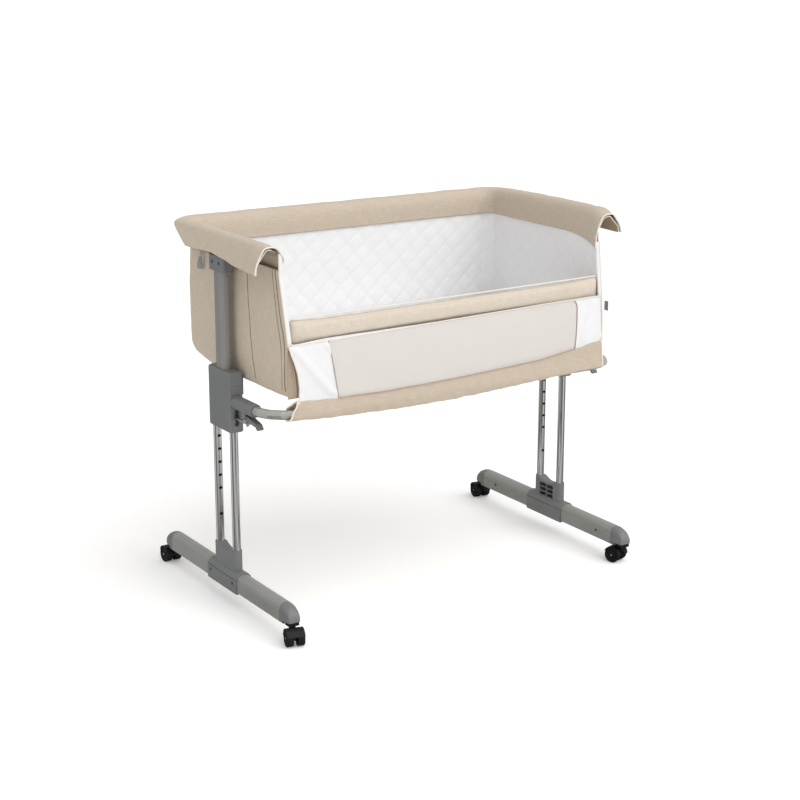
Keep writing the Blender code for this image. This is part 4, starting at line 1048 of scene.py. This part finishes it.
# %% Mattress
mattress = padded_block(
    "quilted_mattress", (-0.401, -0.199, 0.5390), (0.401, 0.214, 0.5560), 0.005, 0.006, 3.0, 0.004
)
for vertex in mattress.data.vertices:
    if vertex.co.z > 0.552:
        vertex.co.z -= 0.0016 * (1 - quilt_depth(vertex.co.x, vertex.co.y))
    vertex.co.z = max(0.5372, vertex.co.z)
belongs(mattress, "crib", QUILTED, "white_fabric", "mattress")

# %% Padded band and low wall
band = padded_block(
    "padded_band_cushion", (-0.402, -0.2245, 0.6215), (0.396, -0.2045, 0.6735),
    0.007, 0.004, 4.0, 0.0045,
)


def band_rise(x):
    return 0.0055 * (x + 0.40) / 0.80


for vertex in band.data.vertices:
    vertex.co.z += band_rise(vertex.co.x) + 0.0008 * ripple(vertex.co.x, 0, vertex.co.z, 0.05, 6.0)
    vertex.co.y += 0.0012 * ripple(vertex.co.x, 3, vertex.co.z, 0.04, 9.0)
# The band takes the lighter copy of the linen: painted light.
belongs(band, "crib", LINEN_LIT_BAND, "beige_fabric", "padded_band")
path = [(x, -0.2185, 0.6765 + band_rise(x)) for x in np.linspace(-0.400, 0.394, 60)]
binding("band_binding", path, 0.0015)
path = [
    (x, flap_y(x, 0.628) - 0.0004, flap_top(x) + 0.0006) for x in np.linspace(-0.414, 0.392, 90)
]
binding("flap_top_binding", path, 0.0013)
rows = []
for z in np.linspace(0.5170, 0.6165, 26):
    rows.append([
        (x, -0.2165 + 0.0012 * (1 - quilt_depth(x, z)), z) for x in np.linspace(-0.400, 0.400, 130)
    ])
wall = cloth("low_wall_cloth", rows, 0.0070, (0, 1, 0.57), smooth=0)
belongs(wall, "crib", QUILTED, "white_fabric", "low_wall")

# %% [markdown]
# ## Zip, tag and fixings
#
# The corner zip ends in a nickel slider under the hem, with a cloth tab on its ring. Small turned
# parts are each made from a primitive, each with its own mesh.

# %% Zip slider and tab


def shaped(name, kind, size, place, width=0.0006, segments=2, turn=(0, 0, 0), **more):
    """A primitive at its size and place, with its edges rounded."""
    select_none()
    if kind == "block":
        bpy.ops.mesh.primitive_cube_add(size=1, location=place, rotation=turn)
    elif kind == "ring":
        bpy.ops.mesh.primitive_torus_add(
            location=place, rotation=turn, major_segments=24, minor_segments=8, **more
        )
    else:
        bpy.ops.mesh.primitive_cylinder_add(
            radius=0.5, depth=1, location=place, rotation=turn, **more
        )
    obj = bpy.context.object
    obj.name = name
    if size:
        obj.scale = size
    only(obj)
    bpy.ops.object.transform_apply(location=True, rotation=True, scale=True)
    if width:
        modify(
            obj, "BEVEL", width=width, segments=segments,
            limit_method="ANGLE", angle_limit=math.radians(40),
        )
    obj.data.shade_smooth()
    return obj


PULL_Y = 0.132
slider = shaped(
    "zip_slider", "block", (0.0030, 0.0075, 0.0100), (-0.4252, PULL_Y, 0.7645), 0.0011, 3
)
belongs(slider, "crib", ZINC, "zinc")
ring = shaped(
    "zip_ring", "ring", None, (-0.4268, PULL_Y, 0.7570), 0, turn=(0, math.radians(90), 0),
    major_radius=0.0036, minor_radius=0.0007,
)
belongs(ring, "zip_pull", ZINC, "zinc")
rows = []
for share in np.linspace(0, 1, 14):
    z = 0.7545 - 0.0270 * share
    half = 0.0034 + 0.0040 * share
    bow = 0.0012 * math.sin(share * 3.1)
    rows.append([
        (-0.4290 - bow + 0.45 * half * side, PULL_Y - half * side + 0.0015 * share, z)
        for side in np.linspace(-1, 1, 7)
    ])
tab = cloth("zip_tab", rows, 0.0022, (0, 0.13, 0.74))
belongs(tab, "zip_pull", TAPE_FINISH, "zinc", "zip_pull")
path = [
    (-END_X - 0.0008, y, 0.7660 + 0.002 * (y - 0.13) / 0.07) for y in np.linspace(0.136, 0.196, 20)
]
binding("zip_tape", path, 0.0016, material=TAPE_FINISH)

# %% Care tag
rows = []
for share in np.linspace(0, 1, 8):
    x, y = 0.409 + 0.0012 * math.sin(share * 3), -0.2345 - 0.0135 * share
    rows.append([(x, y, z) for z in np.linspace(0.604, 0.626, 8)])
tag = cloth("care_tag", rows, 0.0006, (0, -0.24, 0.61))
belongs(tag, "crib", TAPE_FINISH, "white_fabric")

# %% Screws


def edit_top_face(obj):
    """Opens a mesh for editing, with its highest face selected."""
    bpy.ops.object.mode_set(mode="EDIT")
    bpy.ops.mesh.select_mode(type="FACE")
    bpy.ops.mesh.select_all(action="DESELECT")
    shape = bmesh.from_edit_mesh(obj.data)
    max(shape.faces, key=lambda face: face.calc_center_median().z).select = True
    bmesh.update_edit_mesh(obj.data)


def screw(name, place, facing, radius=0.0034):
    """A raised screw head with a round socket, turned towards +X or -X."""
    size = (radius * 2, radius * 2, 0.0016)
    head = shaped(name, "cylinder", size, (0, 0, 0), 0.0005, 2, vertices=20)
    only(head)
    edit_top_face(head)
    bpy.ops.mesh.inset(thickness=radius * 0.45)
    bpy.ops.mesh.extrude_region_move(TRANSFORM_OT_translate={"value": (0, 0, -0.0010)})
    bpy.ops.object.mode_set(mode="OBJECT")
    head.rotation_euler = (0, math.radians(90) * facing, 0)
    head.location = place
    settle(head)
    return head


STAND_X = 0.445             # each stand's plane
fixings = []
for sign, stand in ((-1, "stand_left"), (1, "stand_right")):
    for y in (-0.205, 0.205):
        fixings.append((stand, (sign * (STAND_X - 0.0172), y, 0.060), -sign))
    for y in (-0.052, 0.052):
        fixings.append((stand, (sign * (STAND_X + 0.0204), y, 0.061), sign))
    for y in (-0.016, 0.016):
        fixings.append(("crib", (sign * (STAND_X + 0.0137), y, 0.766), sign))
for number, (body, place, facing) in enumerate(fixings):
    belongs(screw(f"screw_{number + 1}", place, facing), body, DARK_SCREW, "zinc")
print("fixings:", len(fixings))

# %% [markdown]
# ## Castor wheels
#
# Each wheel is turned: a tread with rounded edges, a rim, a dished face and a hub cap. The dished
# face looks away from the wheel's twin.

# %% Wheels
WHEEL_RADIUS = 0.0184
WHEEL_WIDTH = 0.0148
DISHING = (                 # (inset, then depth) from the tread in to the hub
    (0.0034, 0.0), (0.0008, -0.0016), (0.0062, -0.0006), (0.0010, 0.0018), (0.0022, 0.0004),
)


def wheel_at(name, centre, axis):
    """A wheel at its centre, its axle along a level direction and its dished face that way."""
    select_none()
    bpy.ops.mesh.primitive_cylinder_add(
        vertices=40, radius=WHEEL_RADIUS, depth=WHEEL_WIDTH, location=(0, 0, 0)
    )
    wheel = bpy.context.object
    wheel.name = name
    edit_top_face(wheel)
    for inset, depth in DISHING:
        bpy.ops.mesh.inset(thickness=inset)
        if depth:
            bpy.ops.transform.translate(value=(0, 0, depth))
    bpy.ops.object.mode_set(mode="OBJECT")
    modify(
        wheel, "BEVEL", width=0.0011, segments=3,
        limit_method="ANGLE", angle_limit=math.radians(50),
    )
    direction = Vector(axis).normalized()
    wheel.rotation_euler = direction.to_track_quat("Z", "Y").to_euler()
    wheel.location = centre
    settle(wheel)
    wheel.data.shade_smooth()
    only(wheel)
    bpy.ops.object.shade_smooth_by_angle(angle=math.radians(35))
    return wheel


for key in ("left_back", "left_front", "right_back", "right_front"):
    middle = {letter: sum(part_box(f"castor_wheel_{key}_{letter}"), Vector()) / 2 for letter in "ab"}
    for letter, other in (("a", "b"), ("b", "a")):
        axis = middle[letter] - middle[other]
        wheel = wheel_at(f"wheel_{key}_{letter}_turned", middle[letter], axis)
        belongs(wheel, f"wheel_{key}_{letter}", TREAD, "wheel", f"castor_wheel_{key}_{letter}")
        print("turned", wheel.name)

# %% [markdown]
# ## Room, light and camera
#
# A pale floor that fades into a white room, one very broad light from the front right, and a long
# lens from the open side's left. Polished metal sees the floor in dark and light bands, as it
# would see the flags and screens of a studio.

# %% Room
select_none()
bpy.ops.mesh.primitive_plane_add(size=240, location=(0, 0, 0))
ground = bpy.context.object
ground.name = "studio_floor"
white = Recipe("studio white", Roughness=0.9, Specular_IOR_Level=0.0)
spot = white.place()
east, north, _ = white.parts(spot)
bearing = white.node("ShaderNodeMath", {"operation": "ARCTAN2"}, {0: north, 1: east})
flags = (bearing * 5.0 + 0.6).sine() * 0.5 + 0.5
banded = white.between((0.10, 0.10, 0.10), (0.62, 0.62, 0.62), flags)
glossy_ray = white.node("ShaderNodeLightPath", out=3)
white.colour(white.between((0.99, 0.99, 0.99), banded, glossy_ray))
camera_ray = white.node("ShaderNodeLightPath")
glow = white.between((0, 0, 0), (1, 1, 1), camera_ray)
white.join(glow, white.shader.inputs["Emission Color"])
white.join(0.13, white.shader.inputs["Emission Strength"])
ground.data.materials.append(white.material)

world = bpy.data.worlds.new("studio")
world.use_nodes = True
sky = world.node_tree
background = sky.nodes["Background"]
background.inputs["Color"].default_value = (1, 1, 1, 1)
seen = sky.nodes.new("ShaderNodeLightPath")
strength = sky.nodes.new("ShaderNodeMapRange")
strength.inputs["To Min"].default_value = 0.66
strength.inputs["To Max"].default_value = 1.0
sky.links.new(seen.outputs["Is Camera Ray"], strength.inputs["Value"])
sky.links.new(strength.outputs["Result"], background.inputs["Strength"])
bpy.context.scene.world = world


def aimed(name, data, place, target):
    """Puts a lamp or a camera at its place, looking at the target."""
    obj = bpy.data.objects.new(name, data)
    obj.location = place
    toward = Vector(target) - Vector(place)
    obj.rotation_euler = toward.to_track_quat("-Z", "Y").to_euler()
    bpy.context.scene.collection.objects.link(obj)
    return obj


# %% Light and camera
key_light = bpy.data.lights.new("soft key", "SUN")
key_light.angle = math.radians(70)
key_light.energy = 1.80
aimed("soft key", key_light, (1.0, -2.6, 3.0), (0, 0, 0))
bpy.context.scene.view_settings.view_transform = "Standard"
lens = bpy.data.cameras.new("camera")
lens.lens = 80.3
lens.sensor_width = 36
camera = aimed("camera", lens, (-2.1304, -3.3399, 1.4856), (0.005, 0.0, 0.396))
bpy.context.scene.camera = camera
print("camera", camera.location, "lens", lens.lens)
